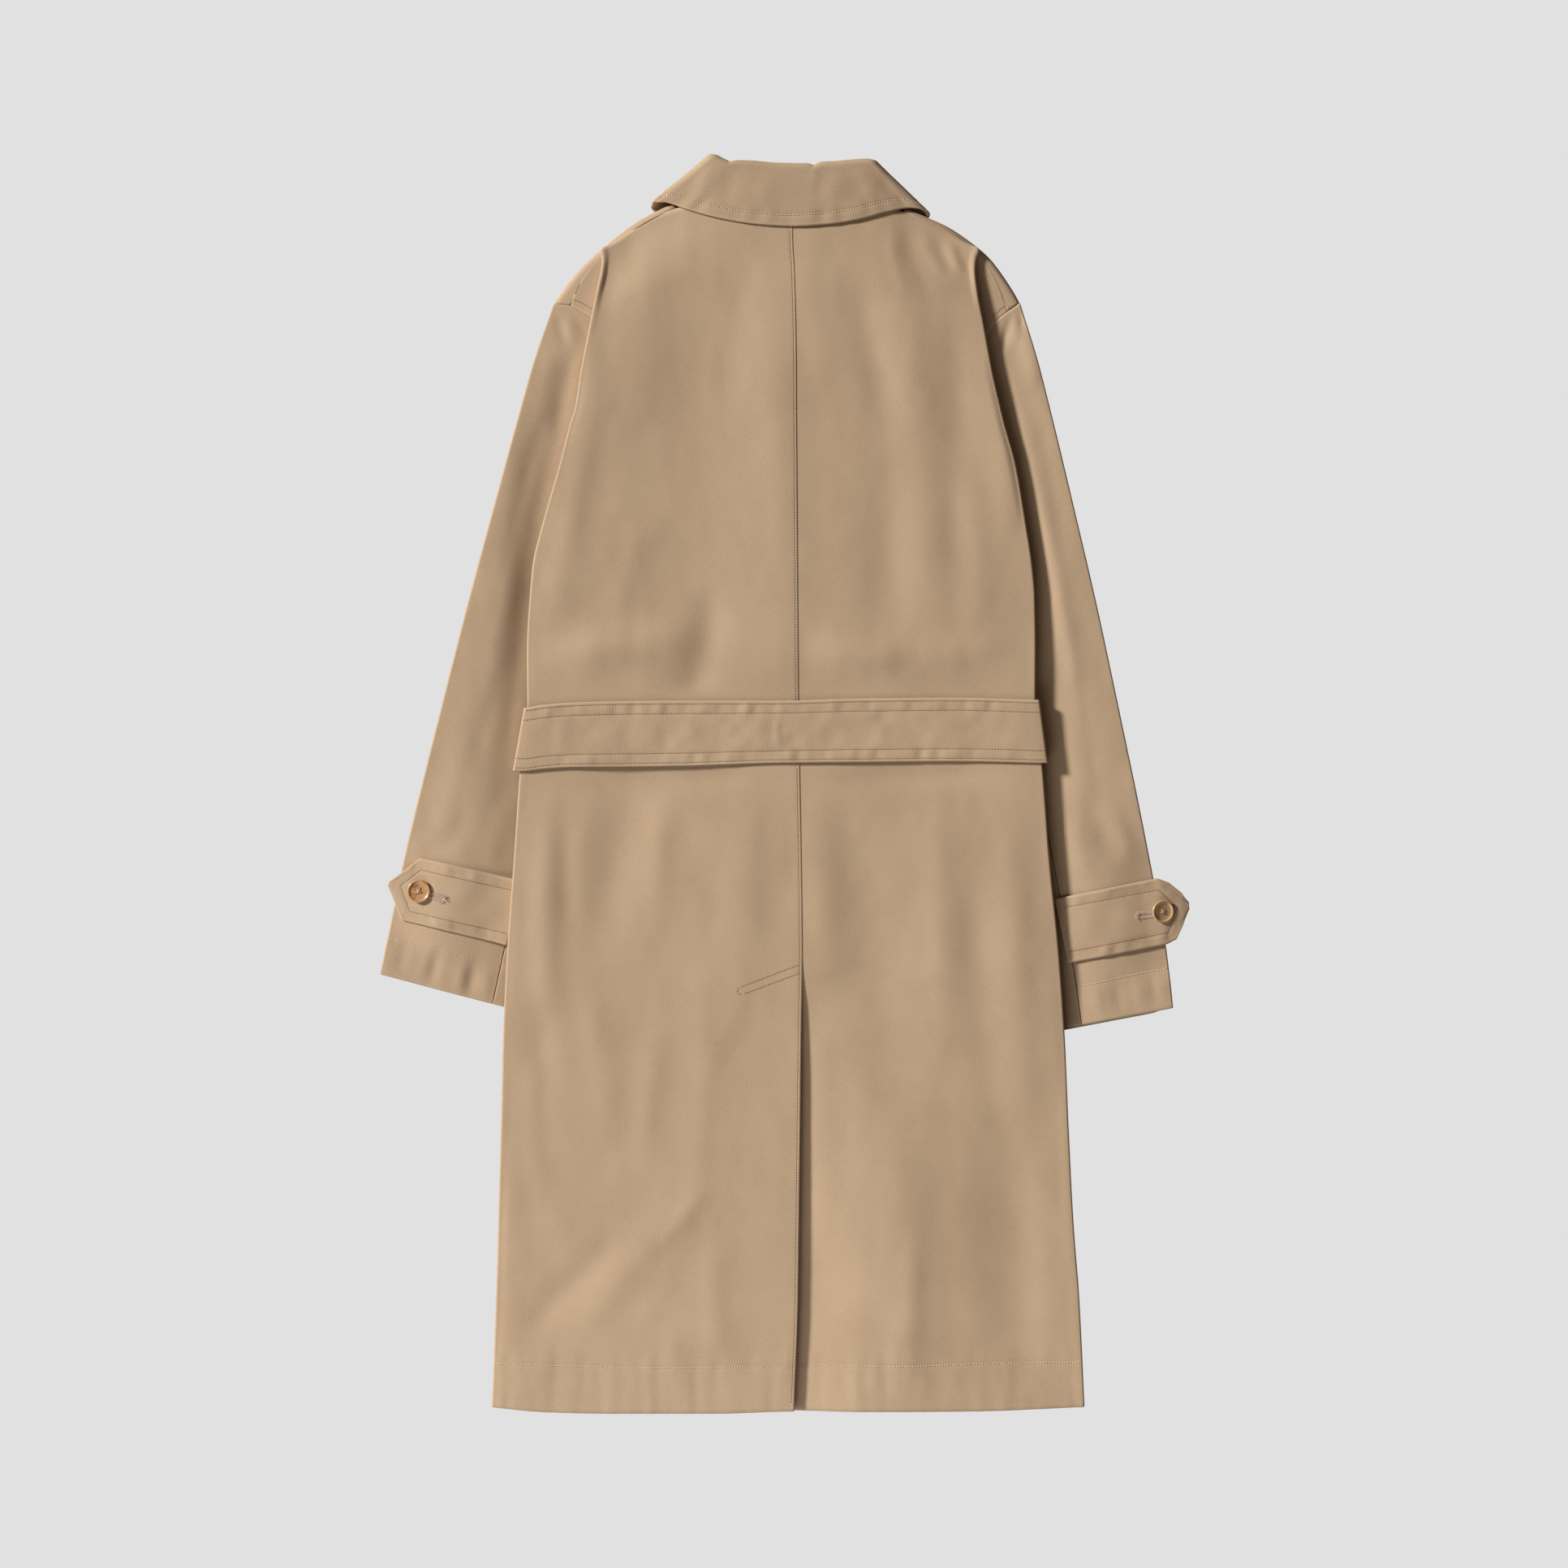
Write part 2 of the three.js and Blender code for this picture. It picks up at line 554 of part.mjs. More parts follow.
function sleeveHeight(share, level, along) {
  const edge = read(SLEEVE_HEIGHT, 'along', 'edge', along);
  const shown = read(SLEEVE_HEIGHT, 'along', 'shown', along);
  const bulge = Math.sin(Math.PI * Math.min(share / shown, 1)) ** 2;
  const crown = read(SLEEVE_HEIGHT, 'along', 'crown', along) * bulge;
  const nearUnderarm = ease(UNDERARM_SHARE, 1, share);
  const underarm = nearUnderarm * (1 - ease(0, UNDERARM_REACH, along));
  const above = ease(ARMHOLE_SHARE.from, ARMHOLE_SHARE.to, share) * (1 - nearUnderarm);
  const armhole = above * (1 - ease(0, ARMHOLE_REACH, along));
  const high = edge + crown + ARMHOLE_LIFT * armhole - UNDERARM_PINCH * underarm;
  return FLOOR + UNDERARM_LIFT * underarm + level * high;
}

const SLEEVE_ALONG = [0, 0.03, 0.07, 0.12, 0.19, 0.27, 0.36, 0.46, 0.56, 0.66, 0.75, 0.83, 0.9, 0.96, 1];
const ROUND_INNER = [
  { share: 0.978, level: 0.02 },
  { share: 0.994, level: 0.18 },
  { share: 1, level: 0.5 },
  { share: 0.994, level: 0.82 },
  { share: 0.978, level: 0.98 },
];

const ROUND_OUTSIDE_SEAM = [0.58, 0.5, 0.42, 0.34, 0.25, 0.17];
const ROUND_INSIDE_SEAM = [0.9, 0.8, 0.72, 0.6];
const SEAM_CLEAR = 0.03;

// The places round a sleeve, from one edge of its back seam, over the outer fold and back to the other
function sleeveRound(side) {
  const seam = SLEEVE[side].seam;
  const gap = SEAM_GAP / 2 / CUFF_WIDTH;
  const visible = [seam - gap, ...ROUND_OUTSIDE_SEAM.filter((share) => share < seam)];
  const hidden = ROUND_INSIDE_SEAM.filter((share) => share > seam + SEAM_CLEAR);
  return [
    ...visible.map((share) => ({ share, level: 1, isFront: false })),
    ...ROUND_FRONT.slice(0, -1).map((place) => ({ ...place, isFront: place.level < 0.5 })),
    ...ROUND_INNER.map((place) => ({ ...place, isFront: place.level < 0.5 })),
    ...hidden.map((share) => ({ share, level: 1, isFront: false })),
    { share: seam + gap, level: 1, isFront: false },
  ];
}

function sleeve(side) {
  const places = sleeveRound(side);
  const rows = SLEEVE_ALONG.map((along) =>
    places.map((place) => sleevePoint(side, place.share, place.level, place.isFront, along)),
  );
  return wall(rows, CLOTH);
}

// Height of a sleeve's upper surface under a place, for what lies on it. The share across is halved in on.
const SHARE_START = 0.08;
const HALVINGS = 20;

function sleeveTop(side, x, y) {
  const out = outward(side);
  const along = (share) => {
    const top = read(ARMHOLE[side], 'share', 'backY', share);
    const bottom = SLEEVE[side].cuffY + SLEEVE[side].acrossY * CUFF_WIDTH * share;
    return (top - y) / (top - bottom);
  };
  let low = SHARE_START;
  let high = 1;
  for (let turn = 0; turn < HALVINGS; turn += 1) {
    const middle = (low + high) / 2;
    const at = sleevePoint(side, middle, 1, false, along(middle));
    if ((at.x - x) * out > 0) {
      low = middle;
    } else {
      high = middle;
    }
  }
  return sleeveHeight(low, 1, along(low)) + HALF;
}

// Fronts. The right one laps over the left one, so it lies nearer the surface.
const FRONT_CENTRE = 8;
const FRONT_LAP = 20;
const FRONT_NECK = {
  left: [
    { x: 8, y: 446 },
    { x: -28, y: 455 },
    { x: -56, y: 470 },
    { x: -78, y: 488 },
  ],
  right: [
    { x: 8, y: 446 },
    { x: 42, y: 455 },
    { x: 68, y: 470 },
    { x: 90, y: 487 },
  ],
};
// What a front lies on, and how far it lifts there: from full lift at near to none at far
const BELT_MIDDLE = 44;
const BELT_LIFT = { height: 2.5, near: 34, far: 75 };
const BELT_LAP_LIFT = { height: 2.4, near: 95, far: 130 };
const COLLAR_LIFT = { height: 2.9, near: 128, far: 152, bottom: 335, top: 398 };
const FRONT_LAP_LIFT = { height: 2.6, near: FRONT_LAP + 4, far: FRONT_LAP + 40 };
const SLEEVE_CLIMB = { near: 6, far: 62, top: UNDERARM_Y + 45 };
const SLEEVE_END = 1.2;

// The sleeve's inner fold at a height, which the front climbs over
function sleeveInner(side, y) {
  const cuffX = SLEEVE[side].cuffX + SLEEVE[side].acrossX * CUFF_WIDTH;
  const cuffY = SLEEVE[side].cuffY + SLEEVE[side].acrossY * CUFF_WIDTH;
  const underarm = ARMHOLE[side][ARMHOLE[side].length - 1];
  const share = (underarm.backY - y) / (underarm.backY - cuffY);
  return mix(underarm.backX, cuffX, THREE.MathUtils.clamp(share, 0, SLEEVE_END));
}

function frontHeight(side, x, y) {
  const lifted = (lift, distance) => lift.height * (1 - ease(lift.near, lift.far, distance));
  const fromCentre = Math.abs(x - FRONT_CENTRE);
  const inside = (sleeveInner(side, y) - x) * outward(side);
  const nearSleeve = 1 - ease(SLEEVE_CLIMB.near, SLEEVE_CLIMB.far, inside);
  const climb = nearSleeve * (1 - ease(UNDERARM_Y, SLEEVE_CLIMB.top, y));
  const carried = (bodyAt('under', y) - FLOOR) * climb;
  const belt = 1 - ease(BELT_LIFT.near, BELT_LIFT.far, Math.abs(y - BELT_MIDDLE));
  const overBelt = belt * (BELT_LIFT.height + lifted(BELT_LAP_LIFT, fromCentre)) * (1 - climb);
  const overCollar = lifted(COLLAR_LIFT, fromCentre) * ease(COLLAR_LIFT.bottom, COLLAR_LIFT.top, y);
  const lap = side === 'left' ? lifted(FRONT_LAP_LIFT, FRONT_CENTRE - x) : 0;
  return FLOOR + carried + overBelt + overCollar + lap;
}

const FRONT_NECK_ACROSS = [0, 0.33, 0.67, 1];
const ROLL_SHARE = 0.022;
const SHOULDER_ROLL = 6.8;
const ARMHOLE_PULL = [
  { share: 0.6, pull: 0.3 },
  { share: 0.75, pull: 1.2 },
  { share: 0.9, pull: 12.8 },
  { share: 1, pull: 0.3 },
];
const FRONT_SHOULDER_ACROSS = [0, 0.125, 0.25, 0.375, 0.5, 0.625, 0.75, 0.875, 1];
const NECK_STEP = 1.5;
const FRONT_LOWER = BACK_ROWS.map((row) => row.fold).filter((y) => y < UNDERARM_Y);
const TOP_LEVEL = 0.9;
const SIDE_SHARE = 0.9;
const PULL_SHARE = 0.2;

// The top edge of a front: along the neck, then along the shoulder to the armhole seam
function frontTop(side) {
  const out = outward(side);
  const neck = FRONT_NECK[side];
  const startX = FRONT_CENTRE - out * FRONT_LAP;
  const outline = [];
  for (const share of FRONT_NECK_ACROSS) {
    const x = mix(startX, neck[neck.length - 1].x, share);
    outline.push({ x, y: read(neck, 'x', 'y', x), inset: 0, wrap: 0 });
  }
  for (const share of FRONT_SHOULDER_ACROSS) {
    outline.push({ ...shoulderPoint(side, share, 0), share, wrap: 1 });
  }
  return outline;
}

function frontPanel(side) {
  const out = outward(side);
  const outline = frontTop(side);
  const last = outline.length - 1;
  const reach = [0];
  for (let k = 1; k <= last; k += 1) {
    reach.push(reach[k - 1] + Math.hypot(outline[k].x - outline[k - 1].x, outline[k].y - outline[k - 1].y));
  }
  const startX = outline[0].x;
  const wrapped = (place, here, k) => {
    if (here.wrap === 1) {
      const onTop = place.level > TOP_LEVEL && place.share > ROLL_SHARE;
      const share = (place.share - ROLL_SHARE) / (ROUND_FRONT[0].share - ROLL_SHARE);
      const rolled = onTop ? mix(ROLL_SHARE * CUFF_WIDTH, here.inset, share) : place.share * CUFF_WIDTH;
      const at = shoulderPoint(side, here.share, rolled + HALF);
      return point(at.x, at.y, frontHeight(side, at.x, at.y) + place.level * SHOULDER_ROLL);
    }
    const before = outline[Math.max(k - 1, 0)];
    const after = outline[Math.min(k + 1, last)];
    const inward = point(after.y - before.y, before.x - after.x, 0).normalize().multiplyScalar(out);
    const distance = ROUND_FRONT.indexOf(place) * NECK_STEP;
    const x = here.x + inward.x * distance;
    const y = here.y + inward.y * distance;
    return point(x, y, frontHeight(side, x, y));
  };
  const rows = ROUND_FRONT.slice(0, WRAP_ROWS).map((place) =>
    outline.map((here, k) => (k < last ? wrapped(place, here, k) : armholeEdge(side, place))),
  );
  const base = rows[WRAP_ROWS - 1];
  const lower = ROUND_FRONT.slice(WRAP_ROWS);
  lower.forEach((place, n) => {
    const end = armholeEdge(side, place);
    const fade = 1 - ease(0, lower.length, n + 1);
    const startY = mix(base[0].y, UNDERARM_Y, (n + 1) / lower.length);
    rows.push(frontRow(side, base, reach, startX, end, startY, fade));
  });
  for (const y of FRONT_LOWER) {
    const seamX = bodyAt(side, y) - out * (bodyAt('turned', y) + SEAM_GAP);
    const isHem = y === FRONT_LOWER[FRONT_LOWER.length - 1];
    const end = point(seamX, isHem ? hemAt(seamX) : y, bodyAt('under', y));
    rows.push(frontRow(side, base, reach, startX, end, isHem ? hemAt(startX) : y, 0));
  }
  return wall(rows, CLOTH);
}

// Where a front meets the sleeve at the armhole seam
function armholeEdge(side, place) {
  const out = outward(side);
  const at = sleevePoint(side, place.share, place.level, place.level < 0.5, 0);
  const pull = place.share > PULL_SHARE ? read(ARMHOLE_PULL, 'share', 'pull', place.share) : 0;
  return point(at.x - out * pull, at.y + SEAM_GAP, place.share === 1 ? bodyAt('under', UNDERARM_Y) : at.z);
}

// One row of a front from the opening to its side, which follows the top edge less and less
function frontRow(side, base, reach, startX, end, startY, fade) {
  const full = reach[reach.length - 1];
  const last = base.length - 1;
  return base.map((top, k) => {
    const share = reach[k] / full;
    const bulgeX = top.x - mix(base[0].x, base[last].x, share);
    const bulgeY = top.y - mix(base[0].y, base[last].y, share);
    const x = mix(startX, end.x, share) + bulgeX * fade;
    const y = mix(startY, end.y, share) + bulgeY * fade;
    if (k === last) {
      return end.clone();
    }
    const towardsSide = end.y < UNDERARM_Y ? 0 : ease(SIDE_SHARE, 1, share);
    return point(x, y, mix(frontHeight(side, x, y), end.z, towardsSide));
  });
}

// Collar and stand. Each station goes once round the neck, from the left end at the front, under the coat,
// over the back and under it again. level: 0 under the coat, 1 on top of it.
const COLLAR_STATIONS = [
  { foldX: 4, foldY: 463, edgeX: -52, edgeY: 404, neckX: 4, neckY: 449, level: 0 },
  { foldX: -24, foldY: 483, edgeX: -76, edgeY: 436, neckX: -26, neckY: 457.6, level: 0 },
  { foldX: -44, foldY: 505, edgeX: -97, edgeY: 466, neckX: -54, neckY: 473, level: 0 },
  { foldX: -59, foldY: 536, edgeX: -110, edgeY: 492, neckX: -74, neckY: 490, level: 0 },
  { foldX: -61.9, foldY: 541.8, edgeX: -113.5, edgeY: 497.0, neckX: -84, neckY: 496, level: 0.15 },
  { foldX: -62.6, foldY: 543, edgeX: -114.4, edgeY: 498.4, neckX: -86, neckY: 498.4, level: 0.5 },
  { foldX: -61.6, foldY: 542.8, edgeX: -112.6, edgeY: 501.4, neckX: -83, neckY: 499.4, level: 0.85 },
  { foldX: -57.0, foldY: 541.0, edgeX: -103.0, edgeY: 501.6, neckX: -76, neckY: 499.0, level: 1 },
  { foldX: -45.0, foldY: 536.8, edgeX: -80.0, edgeY: 494.2, neckX: -60, neckY: 498.8, level: 1 },
  { foldX: -28.0, foldY: 536.4, edgeX: -54.0, edgeY: 487.2, neckX: -38, neckY: 497.9, level: 1 },
  { foldX: -7.0, foldY: 534.6, edgeX: -24.0, edgeY: 482.4, neckX: -12, neckY: 497.5, level: 1 },
  { foldX: 14.0, foldY: 534.2, edgeX: 7.0, edgeY: 480.6, neckX: 12, neckY: 497.4, level: 1 },
  { foldX: 34.0, foldY: 534.8, edgeX: 38.0, edgeY: 482.4, neckX: 36, neckY: 497.8, level: 1 },
  { foldX: 52.0, foldY: 536.8, edgeX: 66.0, edgeY: 487.0, neckX: 58, neckY: 498.2, level: 1 },
  { foldX: 64.0, foldY: 537.6, edgeX: 89.0, edgeY: 493.4, neckX: 76, neckY: 498.5, level: 1 },
  { foldX: 72.0, foldY: 537.8, edgeX: 108.0, edgeY: 496.8, neckX: 88, neckY: 498.6, level: 1 },
  { foldX: 76.0, foldY: 537.8, edgeX: 120.4, edgeY: 495.0, neckX: 95, neckY: 498.6, level: 0.85 },
  { foldX: 76.8, foldY: 537.4, edgeX: 125.4, edgeY: 491.4, neckX: 98, neckY: 497.6, level: 0.5 },
  { foldX: 76.2, foldY: 535.4, edgeX: 124.2, edgeY: 489.4, neckX: 96, neckY: 495, level: 0.15 },
  { foldX: 73.0, foldY: 530.0, edgeX: 120.0, edgeY: 484, neckX: 85, neckY: 489, level: 0 },
  { foldX: 58, foldY: 504, edgeX: 108, edgeY: 462, neckX: 66, neckY: 473, level: 0 },
  { foldX: 38, foldY: 483, edgeX: 90, edgeY: 434, neckX: 40, neckY: 457.6, level: 0 },
  { foldX: 12, foldY: 463, edgeX: 67, edgeY: 402, neckX: 12, neckY: 449, level: 0 },
];
const COLLAR_FALL_UNDER = COLLAR_CLOTH / 2;
const COLLAR_FALL_TOP = 21.2;
const STAND_UNDER = 6.0;
const STAND_TOP = 14.4;
const COLLAR_REST = (CLOTH + COLLAR_CLOTH) / 2 + 0.6;
const COLLAR_IN = 8;
const STAND_TURN_GAP = 6.6;
const STAND_INSIDE = 0.3;
const COLLAR_DOWN = [0.16, 0.38, 0.6, 0.82, 1];
const COLLAR_ROLL = [1, 0.75, 0.5, 0.25, 0];

// Directions at a station: up the collar, and out from the neck's hollow
function collarFrame(station) {
  const up = point(station.foldX - station.edgeX, station.foldY - station.edgeY, 0).normalize();
  const tilt = station.level * 2 - 1;
  const leftwards = station.foldX < FRONT_CENTRE ? 1 : -1;
  const aside = point(-up.y * leftwards, up.x * leftwards, 0).multiplyScalar(Math.sqrt(1 - tilt * tilt));
  return { up, out: aside.add(point(0, 0, tilt)) };
}

function collarRow(station) {
  const { up, out } = collarFrame(station);
  const outer = mix(COLLAR_FALL_UNDER, COLLAR_FALL_TOP, station.level);
  const inner = mix(STAND_UNDER, STAND_TOP, station.level);
  const radius = mix((STAND_UNDER - COLLAR_FALL_UNDER) / 2, (COLLAR_FALL_TOP - STAND_TOP) / 2, station.level);
  const fold = point(station.foldX, station.foldY, outer).addScaledVector(up, -radius - COLLAR_CLOTH / 2);
  const centre = fold.clone().addScaledVector(out, -radius);
  if (station.level === 0 || station.level === 1) {
    centre.z = (outer + inner) / 2;
  }
  const points = [];
  points.push(centre.clone().addScaledVector(out, -radius).addScaledVector(up, -COLLAR_IN + radius));
  for (const turn of COLLAR_ROLL) {
    const angle = turn * Math.PI;
    const at = centre.clone().addScaledVector(out, radius * Math.cos(angle));
    points.push(at.addScaledVector(up, radius * Math.sin(angle)));
  }
  const edgeZ = mix(COLLAR_FALL_UNDER, backHeight(station.edgeX, station.edgeY) + COLLAR_REST, station.level);
  const edge = point(station.edgeX, station.edgeY, edgeZ);
  const start = points[points.length - 1];
  for (const share of COLLAR_DOWN) {
    points.push(start.clone().lerp(edge, share));
  }
  return points;
}

const collar = () => wall(COLLAR_STATIONS.map(collarRow), COLLAR_CLOTH);

// The stand, from the neck seam up to the collar
function collarStand() {
  const isTurning = (station) => station?.level > 0 && station?.level < 1;
  const rows = COLLAR_STATIONS.map((station, i) => {
    const top = collarRow(station)[0];
    const { up } = collarFrame(station);
    const nearTurn = [i - 1, i, i + 1].some((k) => isTurning(COLLAR_STATIONS[k]));
    top.addScaledVector(up, nearTurn ? -STAND_TURN_GAP : -SEAM_GAP);
    const backSeam = read(BACK_TOP[station.neckX < FRONT_CENTRE ? 'left' : 'right'], 'x', 'z', station.neckX);
    const neckZ = mix(STAND_UNDER - STAND_INSIDE, backSeam, station.level);
    const neck = point(station.neckX, station.neckY, neckZ);
    return [neck, neck.clone().lerp(top, 0.5), top];
  });
  return wall(rows, CLOTH);
}

// The belt's upper and lower edges on the back
const BELT = [
  { x: -222, top: 65.0, bottom: 11.6 },
  { x: -205, top: 67.6, bottom: 13.6 },
  { x: -181, top: 69.4, bottom: 15.0 },
  { x: -138, top: 70.6, bottom: 15.3 },
  { x: -88, top: 71.0, bottom: 16.0 },
  { x: -5, top: 71.0, bottom: 18.6 },
  { x: 63, top: 72.9, bottom: 19.3 },
  { x: 147, top: 73.6, bottom: 20.0 },
  { x: 217, top: 71.8, bottom: 18.6 },
];
const BELT_ENDS = {
  left: { topX: -223.6, bottomX: -233.2 },
  right: { topX: 219.8, bottomX: 226.8 },
};
const BELT_WIDTH = 54;
const BELT_REST = (CLOTH + BELT_CLOTH) / 2 + 0.9;
const BELT_UNDER = 10.2;
const BELT_ON_FLOOR = BELT_CLOTH / 2;
const BELT_OVERLAP_LEVEL = BELT_ON_FLOOR + BELT_CLOTH + SEAM_GAP;
const BELT_OVERLAP = 38;
const BELT_ACROSS = [0, 0.5, 1];
const BELT_UNDER_IN = [14, 32, 50, 68, 86, 104, 122, 140, 160];
const BELT_TURN = [0, 0.25, 0.5, 0.75, 1];
const BELT_TURN_DEPTH = 0.6;
const BELT_END = FRONT_CENTRE + BELT_OVERLAP;
const BELT_INNER = [BELT_END, 26, 0, -26];
const BELT_SETTLE = 56;
const BELT_LAP_RISE = { from: 130, to: 165 };

// Height of the belt under the coat: over the sleeve at the sides, down to the surface in the middle
function beltUnder(side, x, y) {
  const over = (sleeveInner(side, y) - x) * outward(side);
  return mix(BELT_UNDER, BELT_ON_FLOOR, ease(0, BELT_SETTLE, over));
}

// A place on the belt where it turns under at a side
function beltTurn(side, share, turn) {
  const end = BELT_ENDS[side];
  const edgeX = mix(end.topX, end.bottomX, share) - outward(side) * (BELT_CLOTH / 2);
  const y = mix(read(BELT, 'x', 'top', edgeX), read(BELT, 'x', 'bottom', edgeX), share);
  const top = bodyAt('edge', y) + BELT_REST;
  const radius = (top - BELT_UNDER) / 2;
  const angle = turn * Math.PI;
  const x = edgeX - outward(side) * radius * BELT_TURN_DEPTH * (1 - Math.sin(angle));
  return point(x, y, BELT_UNDER + radius * (1 + Math.cos(angle)));
}

function belt() {
  const rows = [];
  const across = (make) => rows.push(BELT_ACROSS.map(make));
  const levelAt = (x, share) => mix(read(BELT, 'x', 'top', x), read(BELT, 'x', 'bottom', x), share);
  const underRow = (side, placeOf, extra) =>
    across((share) => {
      const x = placeOf(share);
      const y = levelAt(x, share);
      return point(x, y, beltUnder(side, x, y) + extra);
    });
  const fromEnd = (side, distance) => (share) => {
    const end = mix(BELT_ENDS[side].topX, BELT_ENDS[side].bottomX, share);
    return end - outward(side) * distance;
  };
  const lapped = BELT_OVERLAP_LEVEL - BELT_ON_FLOOR;
  for (const x of BELT_INNER) {
    underRow('left', () => x, lapped);
  }
  for (const distance of [...BELT_UNDER_IN].reverse()) {
    const lapRise = ease(BELT_LAP_RISE.from, BELT_LAP_RISE.to, distance);
    underRow('left', fromEnd('left', distance), lapped * lapRise);
  }
  for (const turn of [...BELT_TURN].reverse()) {
    across((share) => beltTurn('left', share, turn));
  }
  const onTop = (side, backShare) =>
    across((share) => {
      const middleY = BELT_MIDDLE + (0.5 - share) * BELT_WIDTH;
      const radius = (bodyAt('edge', middleY) - bodyAt('under', middleY)) / 2;
      const turnX = bodyAt(side, middleY) - outward(side) * (HALF + radius);
      const x = mix(bodyAt('seam', middleY), turnX, backShare);
      return point(x, levelAt(x, share), backHeight(x, levelAt(x, share)) + BELT_REST);
    });
  for (const backShare of [...BACK_ACROSS].reverse()) {
    onTop('left', backShare);
  }
  for (const backShare of BACK_ACROSS.slice(1)) {
    onTop('right', backShare);
  }
  for (const turn of BELT_TURN) {
    across((share) => beltTurn('right', share, turn));
  }
  for (const distance of BELT_UNDER_IN) {
    underRow('right', fromEnd('right', distance), 0);
  }
  for (const x of [...BELT_INNER.slice(0, -1), FRONT_CENTRE - BELT_OVERLAP]) {
    underRow('right', () => x, 0);
  }
  return wall(rows, BELT_CLOTH);
}

// Cuff straps, from the sleeve's back seam to the pointed end. droop: how far the end hangs down.
const STRAP = {
  left: [
    { topX: -226.5, topY: -84.0, bottomX: -239.5, bottomY: -138.6, droop: 0 },
    { topX: -236.0, topY: -81.8, bottomX: -250.0, bottomY: -135.8, droop: 0 },
    { topX: -256.0, topY: -77.2, bottomX: -270.0, bottomY: -131.0, droop: 0 },
    { topX: -276.0, topY: -72.6, bottomX: -290.0, bottomY: -126.2, droop: 0 },
    { topX: -296.0, topY: -68.0, bottomX: -311.0, bottomY: -121.2, droop: 0 },
    { topX: -313.6, topY: -64.2, bottomX: -329.5, bottomY: -117.0, droop: 0.2 },
    { topX: -328.0, topY: -75.2, bottomX: -336.0, bottomY: -100.6, droop: 0.8 },
    { topX: -340.8, topY: -85.2, bottomX: -341.6, bottomY: -87.4, droop: 1.6 },
  ],
  right: [
    { topX: 233.4, topY: -99.6, bottomX: 245.6, bottomY: -153.8, droop: 0 },
    { topX: 244.0, topY: -97.4, bottomX: 256.0, bottomY: -151.8, droop: 0 },
    { topX: 262.0, topY: -93.8, bottomX: 274.0, bottomY: -148.4, droop: 0 },
    { topX: 280.0, topY: -90.2, bottomX: 292.0, bottomY: -145.0, droop: 0 },
    { topX: 300.0, topY: -86.2, bottomX: 311.0, bottomY: -141.4, droop: 0 },
    { topX: 322.0, topY: -81.8, bottomX: 330.0, bottomY: -137.6, droop: 0.9 },
    { topX: 331.0, topY: -85.6, bottomX: 337.4, bottomY: -133.4, droop: 3.4 },
    { topX: 341.6, topY: -94.4, bottomX: 343.4, bottomY: -120.4, droop: 6.8 },
    { topX: 347.7, topY: -102.4, bottomX: 347.9, bottomY: -107.6, droop: 9.0 },
  ],
};
const STRAP_REST = STRAP_CLOTH / 2 + 0.5;
const STRAP_ACROSS = [0, 0.25, 0.5, 0.75, 1];

function strapLevel(side, x, y) {
  return sleeveTop(side, x, y) + STRAP_REST;
}

function strap(side) {
  const rows = STRAP[side].map((row) =>
    STRAP_ACROSS.map((share) => {
      const x = mix(row.topX, row.bottomX, share);
      const y = mix(row.topY, row.bottomY, share);
      return point(x, y, strapLevel(side, x, y) - row.droop);
    }),
  );
  return wall(rows, STRAP_CLOTH);
}

// Buttons: a horn disc with a raised rim and four holes
const BUTTON_RADIUS = 10;
const BUTTON_PROFILE = [
  { radius: 0, height: 0 },
  { radius: 8.4, height: 0 },
  { radius: 9.7, height: 0.6 },
  { radius: BUTTON_RADIUS, height: 1.6 },
  { radius: 9.6, height: 2.7 },
  { radius: 8.9, height: 3.0 },
  { radius: 8.2, height: 2.7 },
  { radius: 7.6, height: 2.0 },
  { radius: 0, height: 1.8 },
];
const BUTTON_SEGMENTS = 36;
const HOLE_RADIUS = 0.8;
const HOLE_OFFSET = 1.95;
const HOLE_LENGTH = 9.0;
const HOLE_SEGMENTS = 12;
const BUTTON = {
  left: { x: -314.4, y: -92.3, turn: 0.26, tilt: 0 },
  right: { x: 325.6, y: -109.8, turn: -0.2, tilt: 0.3 },
};
const BUTTON_REST = 0.4;
const BUTTON_SEAT = 0.8;

function button() {
  const profile = BUTTON_PROFILE.map((row) => new THREE.Vector2(row.radius, row.height));
  const disc = new THREE.LatheGeometry(profile, BUTTON_SEGMENTS).rotateX(Math.PI / 2);
  let body = solid(disc);
  for (const sideX of [-1, 1]) {
    for (const sideY of [-1, 1]) {
      const hole = new THREE.CylinderGeometry(HOLE_RADIUS, HOLE_RADIUS, HOLE_LENGTH, HOLE_SEGMENTS);
      hole.rotateX(Math.PI / 2).translate(sideX * HOLE_OFFSET, sideY * HOLE_OFFSET, 0);
      body = body.subtract(solid(hole));
    }
  }
  return geometryOf(body);
}

// The coat
const gabardine = { color: 0xb3997c, roughness: 0.85, metalness: 0 };
const horn = { color: 0xa8713c, roughness: 0.35, metalness: 0 };
const coat = new THREE.Group();

function add(name, geometry, finish) {
  const mesh = new THREE.Mesh(geometry, new THREE.MeshStandardMaterial(finish));
  mesh.name = name;
  coat.add(mesh);
  return mesh;
}

